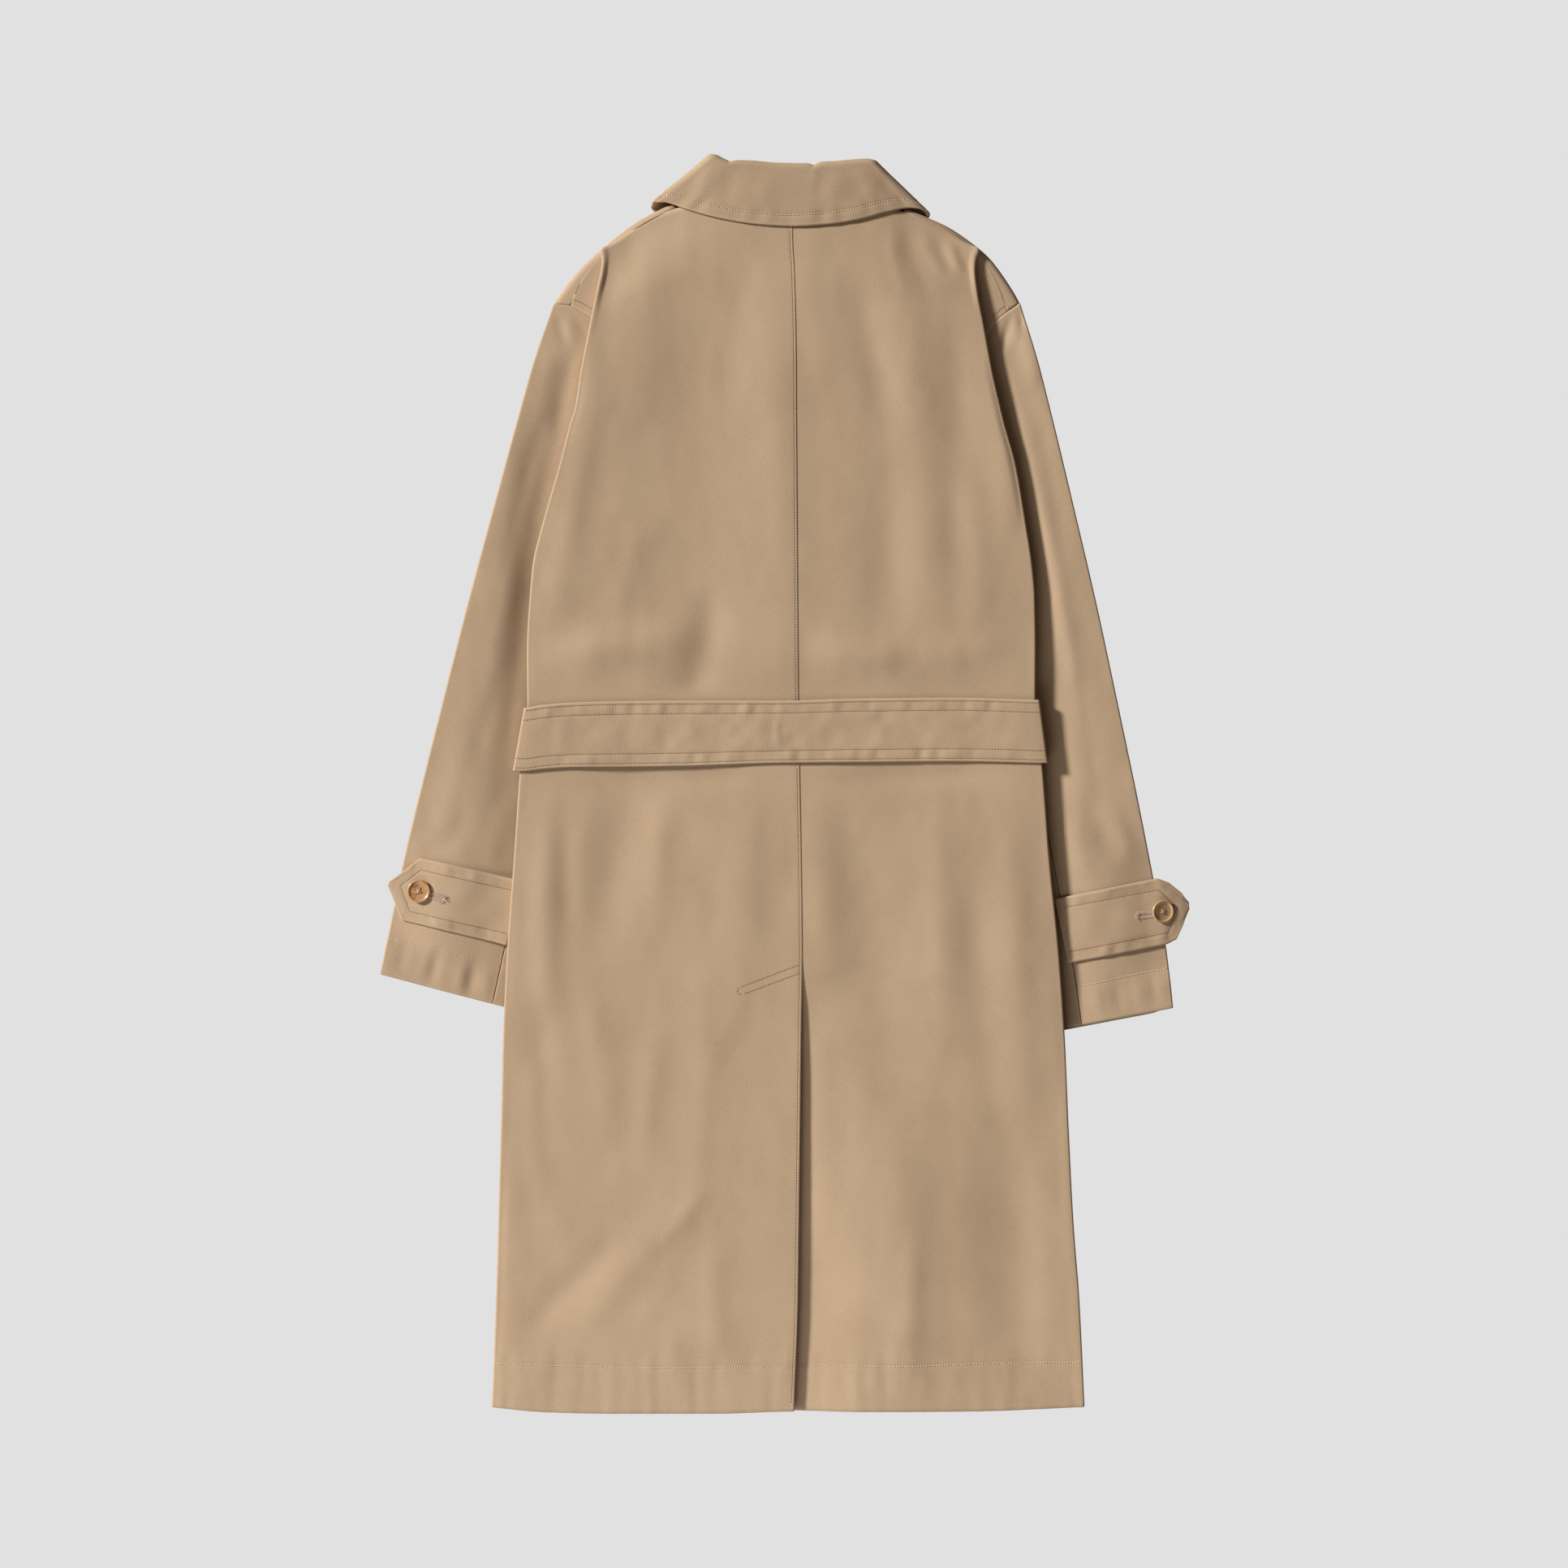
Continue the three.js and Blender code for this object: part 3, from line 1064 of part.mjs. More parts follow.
for (const side of SIDES) {
  const back = solid(backPanel(side)).add(solid(shoulderCap(side)));
  add(`back_${side}`, geometryOf(back), gabardine);
  add(`front_${side}`, frontPanel(side), gabardine);
  add(`sleeve_${side}`, sleeve(side), gabardine);
  add(`cuff_strap_${side}`, strap(side), gabardine);
}
add('collar', collar(), gabardine);
add('collar_stand', collarStand(), gabardine);
add('belt', belt(), gabardine);
for (const side of SIDES) {
  const place = BUTTON[side];
  const mesh = add(`button_${side}`, button(), horn);
  const across = [-BUTTON_SEAT, 0, BUTTON_SEAT];
  const around = across.map((share) => strapLevel(side, place.x + share * BUTTON_RADIUS, place.y));
  const level = Math.max(...around) + STRAP_CLOTH / 2 + BUTTON_REST;
  mesh.position.set(place.x, place.y, level);
  mesh.rotation.set(0, place.tilt, place.turn);
}

export default coat;
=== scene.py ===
"""A belted cotton coat, laid flat with its back up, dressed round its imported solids.

Tables are in millimetres, in the frame's own axes: X to the right and Y up the coat as seen from above,
Z up from the surface. Left and right are as seen from above.
"""

import math

import bmesh
import bpy
import numpy as np
from bpy.props import FloatProperty, FloatVectorProperty, PointerProperty
from bpy.types import Operator, Panel, PropertyGroup
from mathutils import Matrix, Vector
from mathutils.bvhtree import BVHTree


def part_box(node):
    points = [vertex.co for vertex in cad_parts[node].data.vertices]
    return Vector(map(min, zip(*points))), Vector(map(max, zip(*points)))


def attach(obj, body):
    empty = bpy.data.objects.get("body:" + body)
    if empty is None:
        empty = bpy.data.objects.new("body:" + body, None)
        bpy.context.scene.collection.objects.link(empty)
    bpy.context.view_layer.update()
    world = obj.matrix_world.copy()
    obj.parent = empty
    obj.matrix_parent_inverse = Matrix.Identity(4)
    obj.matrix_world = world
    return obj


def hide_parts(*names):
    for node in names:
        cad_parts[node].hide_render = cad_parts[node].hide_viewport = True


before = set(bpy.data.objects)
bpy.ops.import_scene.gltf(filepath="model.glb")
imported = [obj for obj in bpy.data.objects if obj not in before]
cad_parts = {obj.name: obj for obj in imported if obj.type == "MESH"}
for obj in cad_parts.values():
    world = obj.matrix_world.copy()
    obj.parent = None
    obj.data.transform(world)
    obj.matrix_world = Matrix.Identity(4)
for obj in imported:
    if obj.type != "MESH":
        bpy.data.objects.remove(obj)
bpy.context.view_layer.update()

bl_info = {
    "name": "Belted Coat",
    "version": (1, 0, 0),
    "blender": (4, 5, 0),
    "location": "3D View > Sidebar > Coat",
    "description": "Builds a cotton coat laid flat, with its sewing, buttons and cloth",
    "category": "Add Mesh",
}

MM = 0.001
BODY_NAME = "root"
CLOTH_SLOT = "gabardine"
HORN_SLOT = "horn"
SIDES = {"left": -1, "right": 1}


def through(keys, values, places):
    """Reads rows of values at any places between their keys, on a smooth curve that never overshoots them."""
    keys = np.asarray(keys, float)
    values = np.asarray(values, float)
    places = np.clip(np.asarray(places, float), keys[0], keys[-1])
    extra = (1,) * (values.ndim - 1)
    step = np.diff(keys).reshape((-1,) + extra)
    slope = np.diff(values, axis=0) / step
    before, after = slope[:-1], slope[1:]
    turns = before * after <= 0
    inner = np.where(turns, 0, 2 * before * after / np.where(turns, 1, before + after))
    tangent = np.concatenate([slope[:1], inner, slope[-1:]])
    row = np.clip(np.searchsorted(keys, places, side="right") - 1, 0, len(keys) - 2)
    t = ((places - keys[row]) / (keys[row + 1] - keys[row])).reshape(places.shape + extra)
    width = step[row]
    start = (1 + 2 * t) * (1 - t) ** 2 * values[row] + t * (1 - t) ** 2 * width * tangent[row]
    end = t * t * (3 - 2 * t) * values[row + 1] + t * t * (t - 1) * width * tangent[row + 1]
    return start + end


class Table:
    """Rows with named columns. The first column is the place at which the others are read."""

    def __init__(self, columns, *rows):
        self.columns = columns.split()
        self.rows = np.array(sorted(rows), float)

    def at(self, column, place):
        return through(self.rows[:, 0], self.rows[:, self.columns.index(column)], place)

    def column(self, name):
        return self.rows[:, self.columns.index(name)]


def ease(start, end, place):
    """Goes from 0 at the start to 1 at the end, with soft ends."""
    t = np.clip((place - start) / (end - start), 0, 1)
    return t * t * (3 - 2 * t)


def mix(first, second, share):
    return first + (second - first) * share


def bump(distance, width):
    """A soft hump of height 1, about as wide to each side as its width."""
    return np.exp(-((distance / width) ** 2))


def points_of(x, y, z):
    """Stacks coordinates into a grid of points."""
    return np.stack(np.broadcast_arrays(x, y, z), axis=-1)


def unevenness(x, y, size, seed):
    """Soft ups and downs between -1 and 1, about their size apart, the same each time."""
    lattice = np.random.default_rng(seed).uniform(-1, 1, (96, 96))
    u = np.asarray(x, float) / size + 48.3
    v = np.asarray(y, float) / size + 48.7
    i, j = np.floor(u).astype(int), np.floor(v).astype(int)
    s, t = ease(0, 1, u - i), ease(0, 1, v - j)

    def corner(a, b):
        return lattice[(i + a) % 96, (j + b) % 96]

    return mix(mix(corner(0, 0), corner(1, 0), s), mix(corner(0, 1), corner(1, 1), s), t)


def distance_to(path, x, y):
    """Distance in plan from places to a path of straight stretches."""
    nearest = np.full(np.broadcast(x, y).shape, np.inf)
    for (ax, ay), (bx, by) in zip(path[:-1], path[1:]):
        run = math.hypot(bx - ax, by - ay)
        dx, dy = (bx - ax) / run, (by - ay) / run
        along = np.clip((x - ax) * dx + (y - ay) * dy, 0, run)
        nearest = np.minimum(nearest, np.hypot(x - ax - along * dx, y - ay - along * dy))
    return nearest


# Cloth
CLOTH = 1.6
HALF = CLOTH / 2
SEAM_GAP = 0.3
COLLAR_CLOTH = 2.4
STRAP_CLOTH = 2.0
BELT_CLOTH = 2.0
FLOOR = HALF

# Sections of the body from the hem up: where the cloth folds under at each side, the seam down the middle,
# the width turned under, and the heights of the cloth turned under, at the fold and halfway across
BODY = Table(
    "y left right seam turned under edge middle",
    (497, -158.4, 169.4, 7, 3, 9.4, 12.4, 14),
    (462, -158.4, 169.2, 7.8, 3, 9.4, 12.4, 16),
    (452, -157, 166, 8.5, 5, 9.7, 12.9, 16),
    (443, -157.9, 165.3, 9, 7, 10, 13.7, 16.4),
    (424, -161.8, 167, 9.6, 12, 10.6, 15.5, 17),
    (397, -167, 171.8, 10.3, 18, 11.6, 17.2, 17),
    (353, -175.4, 179.8, 10.7, 30, 12.3, 18.4, 17),
    (324, -179.8, 186.4, 10.8, 38, 12.3, 18.8, 17),
    (310, -184.1, 189.8, 10.9, 42, 12.3, 18.8, 17),
    (276, -192.9, 199.2, 11.1, 51, 12.3, 18.8, 17),
    (219, -209, 209, 11.5, 62, 12.3, 18.8, 17.2),
    (190, -216, 213.4, 11.7, 62, 12.3, 18.8, 17.4),
    (160, -218.8, 216, 11.9, 54, 12.3, 18.8, 17.8),
    (115, -221.2, 216.7, 12.2, 54, 12.3, 18.8, 18.6),
    (66, -220.9, 216.4, 12.6, 54, 12.3, 18.8, 16),
    (11, -227.2, 222.8, 13.6, 54, 12.3, 18.8, 16),
    (-63, -232.3, 228.4, 14.9, 54, 12.3, 18.8, 17.4),
    (-146, -238.4, 236.6, 15.8, 54, 12.3, 18.8, 16.8),
    (-215, -241.6, 241.4, 14.7, 54, 12.3, 18.8, 16.2),
    (-303, -244, 245.4, 13.7, 54, 5.5, 16.8, 15.2),
    (-380, -246.3, 249.6, 12.8, 54, 0.8, 14, 14.2),
    (-443, -248.2, 254.5, 12, 54, 0.8, 13.4, 13.6),
    (-542, -252.2, 259.3, 8.4, 54, 0.8, 12.8, 13),
)

# The hem's lower edge
HEM = Table(
    "x y",
    (-252, -536.6),
    (-205, -541),
    (-150, -542.2),
    (-60, -542.2),
    (8, -540.3),
    (66, -540.8),
    (165, -540.2),
    (260, -536.4),
)

# The top edge of each back panel, from the middle of the neck along the shoulder seam
BACK_TOP = {
    "left": Table(
        "x y z",
        (8, 497, 14),
        (-30, 497.5, 14),
        (-60, 498.5, 13.4),
        (-82, 498, 12.2),
        (-97, 494.6, 10.7),
        (-113, 488.3, 9.9),
        (-130, 478.4, 9.3),
        (-146, 467, 10.6),
        (-157, 461.4, 12),
    ),
    "right": Table(
        "x y z",
        (6, 497, 14),
        (42, 497.5, 14),
        (70, 498, 13.4),
        (92, 496.6, 12.2),
        (106, 491.2, 10.7),
        (124, 484.3, 9.9),
        (141, 476.6, 9.3),
        (157, 466.4, 10.6),
        (168, 461.4, 12),
    ),
}

# How far the right panel lies below the left one at the seam and in the vent
LAP = Table(
    "y drop",
    (500, 0.35),
    (440, 0.4),
    (-60, 0.45),
    (-150, 0.5),
    (-166, 1.2),
    (-200, 4.0),
    (-260, 6.4),
    (-400, 7.4),
    (-480, 7.4),
    (-542, 6.8),
)
VENT_TOP = -157
VENT_FULL = -178
VENT_UNDERLAP = 52
SEAM_LAP = 1.2
VENT_RECOVERY = 60

# Soft folds of the back that the solids have too: from one place to another, with a width to each side
FOLDS = (
    (-72, 430, -76, 110, 58, -3.2),
    (-6, 440, -2, 100, 22, 1.6),
    (60, 452, 96, 290, 16, -1.8),
    (92, 300, 88, 110, 20, -1.6),
    (104, 440, 128, 130, 24, 2),
    (150, 400, 150, 160, 16, -1.4),
    (-130, 5, -160, -150, 20, -2.4),
    (64, 0, 96, -330, 28, -2.8),
    (-176, -470, -68, -350, 20, 2.6),
    (-236, -480, -140, -392, 14, -1.8),
    (120, -300, 130, -520, 30, -2.4),
)

# Creases that only this script has: the same, with a bend at the middle of each
CREASES = (
    (-196, 112, -70, 122, 17, 3.6, -4),
    (-196, 150, -150, 300, 18, -1.1, 0),
    (30, 117, 104, 110, 14, 2.5, 3),
    (112, 112, 190, 118, 14, 1.7, 2),
    (-146, 450, -153, 352, 11, -0.7, 3),
    (-118, 470, -128, 300, 18, 1.0, -5),
    (-30, 455, -48, 330, 14, -0.7, 4),
    (90, 478, 106, 420, 6, 0.5, 2),
    (105, 478, 124, 420, 6, -0.5, 2),
    (119, 476, 136, 438, 5, 0.6, 2),
    (132, 472, 145, 440, 4.5, -0.6, 1),
    (142, 469, 153, 441, 4.5, 0.8, 1),
    (151, 464, 160, 442, 4, -0.5, 1),
    (20, 470, 40, 340, 16, 1.0, 4),
    (176, 380, 192, 200, 13, 1.3, -6),
    (-178, 250, -196, 140, 16, 1.1, -4),
    (-112, 230, -146, 130, 13, 0.8, 4),
    (150, 300, 168, 110, 14, 1.0, -4),
    (-205, -12, -200, -216, 12, 1.8, 3),
    (-186, -20, -184, -130, 9, -1.0, 2),
    (-100, -10, -108, -120, 14, 1.3, 4),
    (-62, 165, -86, 58, 15, -2.2, -4),
    (-160, 370, -206, 120, 12, 0.9, -4),
    (-36, -8, -30, -150, 20, 1.5, 2),
    (28, -6, 34, -180, 16, 1.1, -3),
    (128, -8, 138, -250, 15, 1.3, -4),
    (196, -12, 214, -330, 15, 1.4, 4),
    (164, -60, 182, -300, 12, -0.8, 4),
    (-215, -225, -208, -360, 10, 1.3, 3),
    (-68, -160, -76, -372, 12, 0.8, -3),
    (-104, -200, -118, -330, 12, 1.0, 4),
    (-40, -182, -68, -262, 9, 0.3, -2),
    (-24, -172, -46, -246, 9, -0.3, -2),
    (30, -200, 42, -420, 15, 1.3, 4),
    (90, -250, 104, -532, 26, 2.1, -5),
    (150, -290, 172, -500, 16, 0.4, 5),
    (112, -380, 111, -536, 9, 0.9, 2),
    (116, -290, 120, -535, 30, 2.6),
    (194, -270, 208, -535, 33, -3.8, 3),
    (100, -462, 90, -505, 9, 0.6, -3),
    (214, -300, 226, -520, 12, 0.6, -3),
    (-188, -480, -128, -412, 9, 0.3, 4),
    (-146, -452, -84, -386, 12, -0.4, -4),
    (-126, -468, -96, -420, 9, 0.4, 3),
    (-172, -470, -72, -356, 20, -0.9),
    (-230, -300, -238, -520, 14, 0.8, 0),
    (-206, -190, -212, -330, 12, -1.3, 2),
    (-168, -170, -150, -310, 15, 1.3, -3),
    (-112, -400, -70, -350, 7, 0.7, 2),
    (-60, -392, -52, -500, 13, 1.0, 3),
    (-96, -470, -92, -532, 7, 0.7, 1),
)
BELT_MIDDLE = 44
BELT_COVER = {"near": 28, "far": 46}

# The outer edge of each shoulder, from the neck to the armhole seam
SHOULDER = {
    "left": (
        (-97, 501, 4.4),
        (-113.8, 493.2, 4.4),
        (-131.3, 483.4, 4.4),
        (-147.4, 470.8, 4.6),
        (-158.6, 461.8, 5.4),
        (-172, 449.6, 7),
        (-182.4, 438.6, 9),
        (-191.8, 426.2, 12),
        (-199.2, 414.1, 15),
    ),
    "right": (
        (106, 497.4, 4.4),
        (124.4, 488.8, 4.4),
        (141.8, 482, 4.4),
        (159.3, 470.1, 4.6),
        (169.1, 462.6, 5.4),
        (179.6, 453.4, 7),
        (191.5, 436.5, 9),
        (199.6, 424, 12),
        (204.1, 414.6, 15),
    ),
}

# The armhole seam, by its share of the way across the sleeve from the outer fold to the underarm
ARMHOLE = {
    "left": Table(
        "share back_x back_y front_x front_y",
        (0, -199.2, 414.1, -199.2, 414.1),
        (0.1, -184.3, 412.6, -185, 409),
        (0.17, -175, 407.5, -175, 403),
        (0.25, -165, 401.5, -162, 393),
        (0.34, -153, 388, -150, 376),
        (0.45, -144, 355, -140, 350),
        (0.6, -139.5, 298, -133, 300),
        (0.75, -142, 243, -137, 245),
        (0.9, -153, 190, -150, 190),
        (1, -164.8, 160, -164.8, 160),
    ),
    "right": Table(
        "share back_x back_y front_x front_y",
        (0, 204.1, 414.6, 204.1, 414.6),
        (0.1, 193, 407.6, 190.5, 407),
        (0.17, 183.2, 399.4, 181, 401),
        (0.25, 177, 389.8, 168, 391),
        (0.34, 160, 376, 156, 376),
        (0.45, 150, 350, 146, 350),
        (0.6, 147.5, 298, 140, 300),
        (0.75, 147, 243, 142, 245),
        (0.9, 152, 190, 150, 190),
        (1, 162, 160, 162, 160),
    ),
}

# Each sleeve at its cuff. seam: share of the way across at which the back seam lies.
# bow: how far the outer fold swings out of the straight line from shoulder to cuff.
CUFF_WIDTH = 150
SLEEVE = {
    "left": {
        "cuff": (-348.3, -163.5),
        "across": (0.966, -0.259),
        "seam": 0.667,
        "bow": Table("along out", (0, 0), (0.1, 4.2), (0.25, 5.5), (0.45, 6.7), (0.65, 6.3), (0.8, 5.6), (1, 0)),
    },
    "right": {
        "cuff": (334.0, -192.9),
        "across": (-0.982, -0.187),
        "seam": 0.527,
        "bow": Table(
            "along out",
            (0, 0),
            (0.1, 4.6),
            (0.28, 7.9),
            (0.47, 9.8),
            (0.65, 9.5),
            (0.79, 8.7),
            (0.91, 7.0),
            (0.96, 4.2),
            (1, 1.4),
        ),
    },
}

# Height of a sleeve along its length: at its outer fold, what the crown adds, and the share that shows
SLEEVE_HEIGHT = Table(
    "along edge crown shown",
    (0, 6.8, 0.2, 0.34),
    (0.08, 7, 2.4, 0.3),
    (0.25, 7.2, 3.8, 0.3),
    (0.45, 7.2, 4.2, 0.34),
    (0.7, 7.2, 3.8, 0.5),
    (1, 7.2, 3.4, 0.66),
)
UNDERARM_LIFT = 3.4
UNDERARM_PINCH = 3.0
UNDERARM_SHARE = 0.72
UNDERARM_REACH = 0.12
ARMHOLE_LIFT = 1.9
ARMHOLE_SHARE = {"from": 0.25, "to": 0.4}
ARMHOLE_REACH = 0.08
OUTER_FOLD_SHARE = 0.05
ROLL_SHARE = 0.0058
ROLL_CORNER = 0.11

# Creases on top of the sleeves and cuffs, in the same columns as the creases of the back
SLEEVE_CREASES = {
    "left": (
        (-195, 405, -188, 378, 4.5, -0.7, 1),
        (-186, 405, -182, 380, 4, 0.4, 1),
        (-178, 407, -171, 388, 4, -0.8, 1),
        (-184, 372, -196, 300, 8, -1.0, 2),
        (-170, 380, -180, 320, 7, 0.8, 2),
        (-200, 380, -216, 300, 8, 0.8, -3),
        (-212, 300, -236, 170, 8, -0.9, 4),
        (-226, 220, -254, 60, 10, 0.8, -4),
        (-240, 110, -266, 10, 8, -0.7, 3),
        (-276, 50, -296, -50, 12, 0.7, -3),
        (-236, -10, -252, -78, 9, 0.8, 2),
        (-272, -20, -300, -60, 9, -0.8, -3),
        (-318, -52, -306, -74, 6, 0.7, 2),
        (-262, -140, -272, -184, 4.5, -1.0, 1),
        (-270, -138, -281, -180, 4, 0.8, 1),
        (-292, -130, -304, -172, 4, -0.8, 1),
        (-301, -128, -313, -170, 4, 0.6, 1),
        (-322, -126, -332, -164, 4, -0.5, 1),
        (-250, -142, -258, -188, 4, 0.6, 1),
    ),
    "right": (
        (196, 409, 188, 372, 3.6, -1.5, 1),
        (199, 407, 200, 380, 3.4, 0.9, 0),
        (202, 409, 206, 394, 2.6, -1.0, 0),
        (191, 404, 184, 384, 3, 0.7, 0),
        (204, 392, 216, 340, 6, 0.8, -2),
        (216, 330, 238, 190, 8, -0.7, -4),
        (226, 260, 252, 80, 9, 0.9, 4),
        (250, 100, 268, -10, 9, -0.8, -3),
        (262, -6, 284, -62, 11, -1.4, 3),
        (282, -24, 300, -66, 8, 0.9, -2),
        (250, -30, 262, -80, 8, 0.8, 2),
        (300, 20, 314, -50, 8, 0.7, 3),
        (266, -154, 274, -204, 5, 0.8, 1),
        (284, -150, 290, -198, 5, -0.8, 1),
        (300, -148, 308, -194, 4, 0.6, 1),
        (314, -144, 322, -190, 4, -0.7, 1),
    ),
}

# The collar, once round the neck from its left end. level: 0 under the coat, 1 on top of it.
COLLAR_COLUMNS = "place fold_x fold_y edge_x edge_y level"
COLLAR_STATIONS = (
    (4, 463, -52, 404, 0),
    (-24, 483, -76, 436, 0),
    (-44, 505, -97, 466, 0),
    (-59, 536, -110, 492, 0),
    (-61.9, 541.8, -113.5, 497, 0.15),
    (-62.6, 543, -114.4, 498.4, 0.5),
    (-61.6, 542.8, -112.6, 501.4, 0.85),
    (-57, 541, -103, 501.6, 1),
    (-45, 536.8, -80, 494.2, 1),
    (-28, 536.4, -54, 487.2, 1),
    (-7, 534.6, -24, 482.4, 1),
    (14, 534.2, 7, 480.6, 1),
    (34, 534.8, 38, 482.4, 1),
    (52, 536.8, 66, 487, 1),
    (64, 537.6, 89, 493.4, 1),
    (72, 537.8, 108, 496.8, 1),
    (76, 537.8, 120.4, 495, 0.85),
    (76.8, 537.4, 125.4, 491.4, 0.5),
    (76.2, 535.4, 124.2, 489.4, 0.15),
    (73, 530, 120, 484, 0),
    (58, 504, 108, 462, 0),
    (38, 483, 90, 434, 0),
    (12, 463, 67, 402, 0),
)
COLLAR_FALL_UNDER = COLLAR_CLOTH / 2
COLLAR_FALL_TOP = 21.2
STAND_UNDER = 6.0
STAND_TOP = 14.4
COLLAR_REST = (CLOTH + COLLAR_CLOTH) / 2 + 0.6
COLLAR_IN = 8
FRONT_CENTRE = 8

# The belt's upper and lower edges on the back
BELT = Table(
    "x top bottom",
    (-222, 65, 11.6),
    (-205, 67.6, 13.6),
    (-181, 69.4, 15),
    (-138, 70.6, 15.3),
    (-88, 71, 16),
    (-5, 71, 18.6),
    (63, 72.9, 19.3),
    (147, 73.6, 20),
    (217, 71.8, 18.6),
)
BELT_ENDS = {"left": (-223.6, -233.2), "right": (219.8, 226.8)}
BELT_WIDTH = 54
BELT_REST = (CLOTH + BELT_CLOTH) / 2 + 0.9
BELT_UNDER = 10.2
BELT_ON_FLOOR = BELT_CLOTH / 2
BELT_OVERLAP_LEVEL = BELT_ON_FLOOR + BELT_CLOTH + SEAM_GAP
BELT_OVERLAP = 38
BELT_CORNER = 1.06
BELT_SETTLE = 56
BELT_LAP_RISE = {"from": 130, "to": 165}
UNDERARM_Y = 160
SLEEVE_END = 1.2

# Cuff straps, from the sleeve's back seam to the pointed end
STRAP = {
    "left": (
        (-226.5, -84, -239.5, -138.6, 0),
        (-236, -81.8, -250, -135.8, 0),
        (-256, -77.2, -270, -131, 0),
        (-276, -72.6, -290, -126.2, 0),
        (-296, -68, -311, -121.2, 0),
        (-313.6, -64.2, -329.5, -117, 0.2),
        (-328, -75.2, -336, -100.6, 0.8),
        (-340.8, -85.2, -341.6, -87.4, 1.6),
    ),
    "right": (
        (233.4, -99.6, 245.6, -153.8, 0),
        (244, -97.4, 256, -151.8, 0),
        (262, -93.8, 274, -148.4, 0),
        (280, -90.2, 292, -145, 0),
        (300, -86.2, 311, -141.4, 0),
        (322, -81.8, 330, -137.6, 0.5),
        (332, -85.6, 338.4, -133.4, 1.6),
        (343, -94.4, 344.8, -120.4, 3.2),
        (349.1, -102.4, 349.3, -107.6, 4.6),
    ),
}
STRAP_REST = STRAP_CLOTH / 2 + 0.8
STRAP_SINK = 0.4

# Rows of the back panels: heights at the fold and at the seam
BACK_ROWS = (
    (460.6, 497),
    (452, 487),
    (441, 473),
    (425, 453),
    (405, 428),
    (380, 398),
    (353, 363),
    (324, 328),
    (298, 298),
    (262, 262),
    (225, 225),
    (190, 190),
    (160, 160),
    (128, 128),
    (98, 98),
    (71, 71),
    (44, 44),
    (17, 17),
    (-12, -12),
    (-50, -50),
    (-100, -100),
    (-157, -157),
    (-178, -178),
    (-215, -215),
    (-265, -265),
    (-325, -325),
    (-390, -390),
    (-450, -450),
    (-500, -500),
    (-537, -540.4),
)
TOP_ROWS = 7
SHOULDER_RISE = 60
SIDE_START = 0.5
FOLDS_END = 0.8

# The shoulder point of each back panel, from the shoulder seam in under the fold
CAP = {
    "left": (
        (0.5, -151.5, 450, 9.8),
        (0.625, -152, 440, 10.1),
        (0.75, -152, 427, 10.5),
        (0.875, -153, 410, 11.1),
    ),
    "right": (
        (0.5, 160.5, 450, 9.8),
        (0.625, 159, 440, 10.1),
        (0.75, 158, 424, 10.6),
        (0.875, 158, 404, 11.3),
    ),
}
CAP_ACROSS = (0, 0.34, 0.67, 1)
CAP_SHARES = (0.1, 0.17, 0.25, 0.34)
CAP_LEVEL = 7.7
SHOULDER_LAP = 0.3
CAP_END_LEVEL = 11.7
CAP_RISE_START = 0.6


def soft_folds(rows, x, y):
    """Height that soft folds add at places. Each fades towards its two ends."""
    height = np.zeros(np.broadcast(x, y).shape)
    for from_x, from_y, to_x, to_y, width, rise, *bend in rows:
        length = math.hypot(to_x - from_x, to_y - from_y)
        run_x, run_y = (to_x - from_x) / length, (to_y - from_y) / length
        along = (x - from_x) * run_x + (y - from_y) * run_y
        share = np.clip(along / length, 0, 1)
        swing = 4 * share * (1 - share) * (bend[0] if bend else 0)
        aside = (x - from_x) * run_y - (y - from_y) * run_x - swing
        fade = ease(-width, length * 0.3, along) * (1 - ease(length * 0.7, length + width, along))
        height += rise * fade * bump(aside, width)
    return height


def back_height(x, y):
    """Height of the back's middle surface, as the solids have it."""
    seam = BODY.at("seam", y)
    on_left = x < seam
    side_x = np.where(on_left, BODY.at("left", y), BODY.at("right", y))
    reach = np.minimum(np.abs((x - seam) / (side_x - seam)), 1)
    edge = mix(BODY.at("middle", y), BODY.at("edge", y), ease(SIDE_START, 1, reach))
    body = edge + soft_folds(FOLDS, x, y) * (1 - ease(FOLDS_END, 1, reach))
    top_y = np.where(on_left, BACK_TOP["left"].at("y", x), BACK_TOP["right"].at("y", x))
    top_z = np.where(on_left, BACK_TOP["left"].at("z", x), BACK_TOP["right"].at("z", x))
    return mix(top_z, body, ease(0, SHOULDER_RISE, top_y - y))


HEM_STITCH = {
    "left": Table("x y", (-253, -499.5), (-174.7, -501.6), (-103.3, -503.3), (-31.9, -502.3), (9.9, -502.3)),
    "right": Table("x y", (9, -500.9), (84.4, -501.6), (128.5, -500.9), (173.3, -499.5), (257, -498.1)),
}
TOPSTITCH_IN = 2.8


# Places where the back sinks below the belt or lies fuller under the shoulder: across, up, reach and height
HOLLOWS = (
    (-122, 2, 62, 16, -2.8),
    (-60, 6, 30, 9, -1.4),
    (92, 6, 46, 12, -2.4),
    (150, 8, 26, 9, -1.6),
    (-134, 446, 17, 22, 0.6),
    (144, 446, 15, 20, 1.3),
)


def hollows(x, y):
    return sum(
        rise * bump(x - place_x, reach_x) * bump(y - place_y, reach_y)
        for place_x, place_y, reach_x, reach_y, rise in HOLLOWS
    )


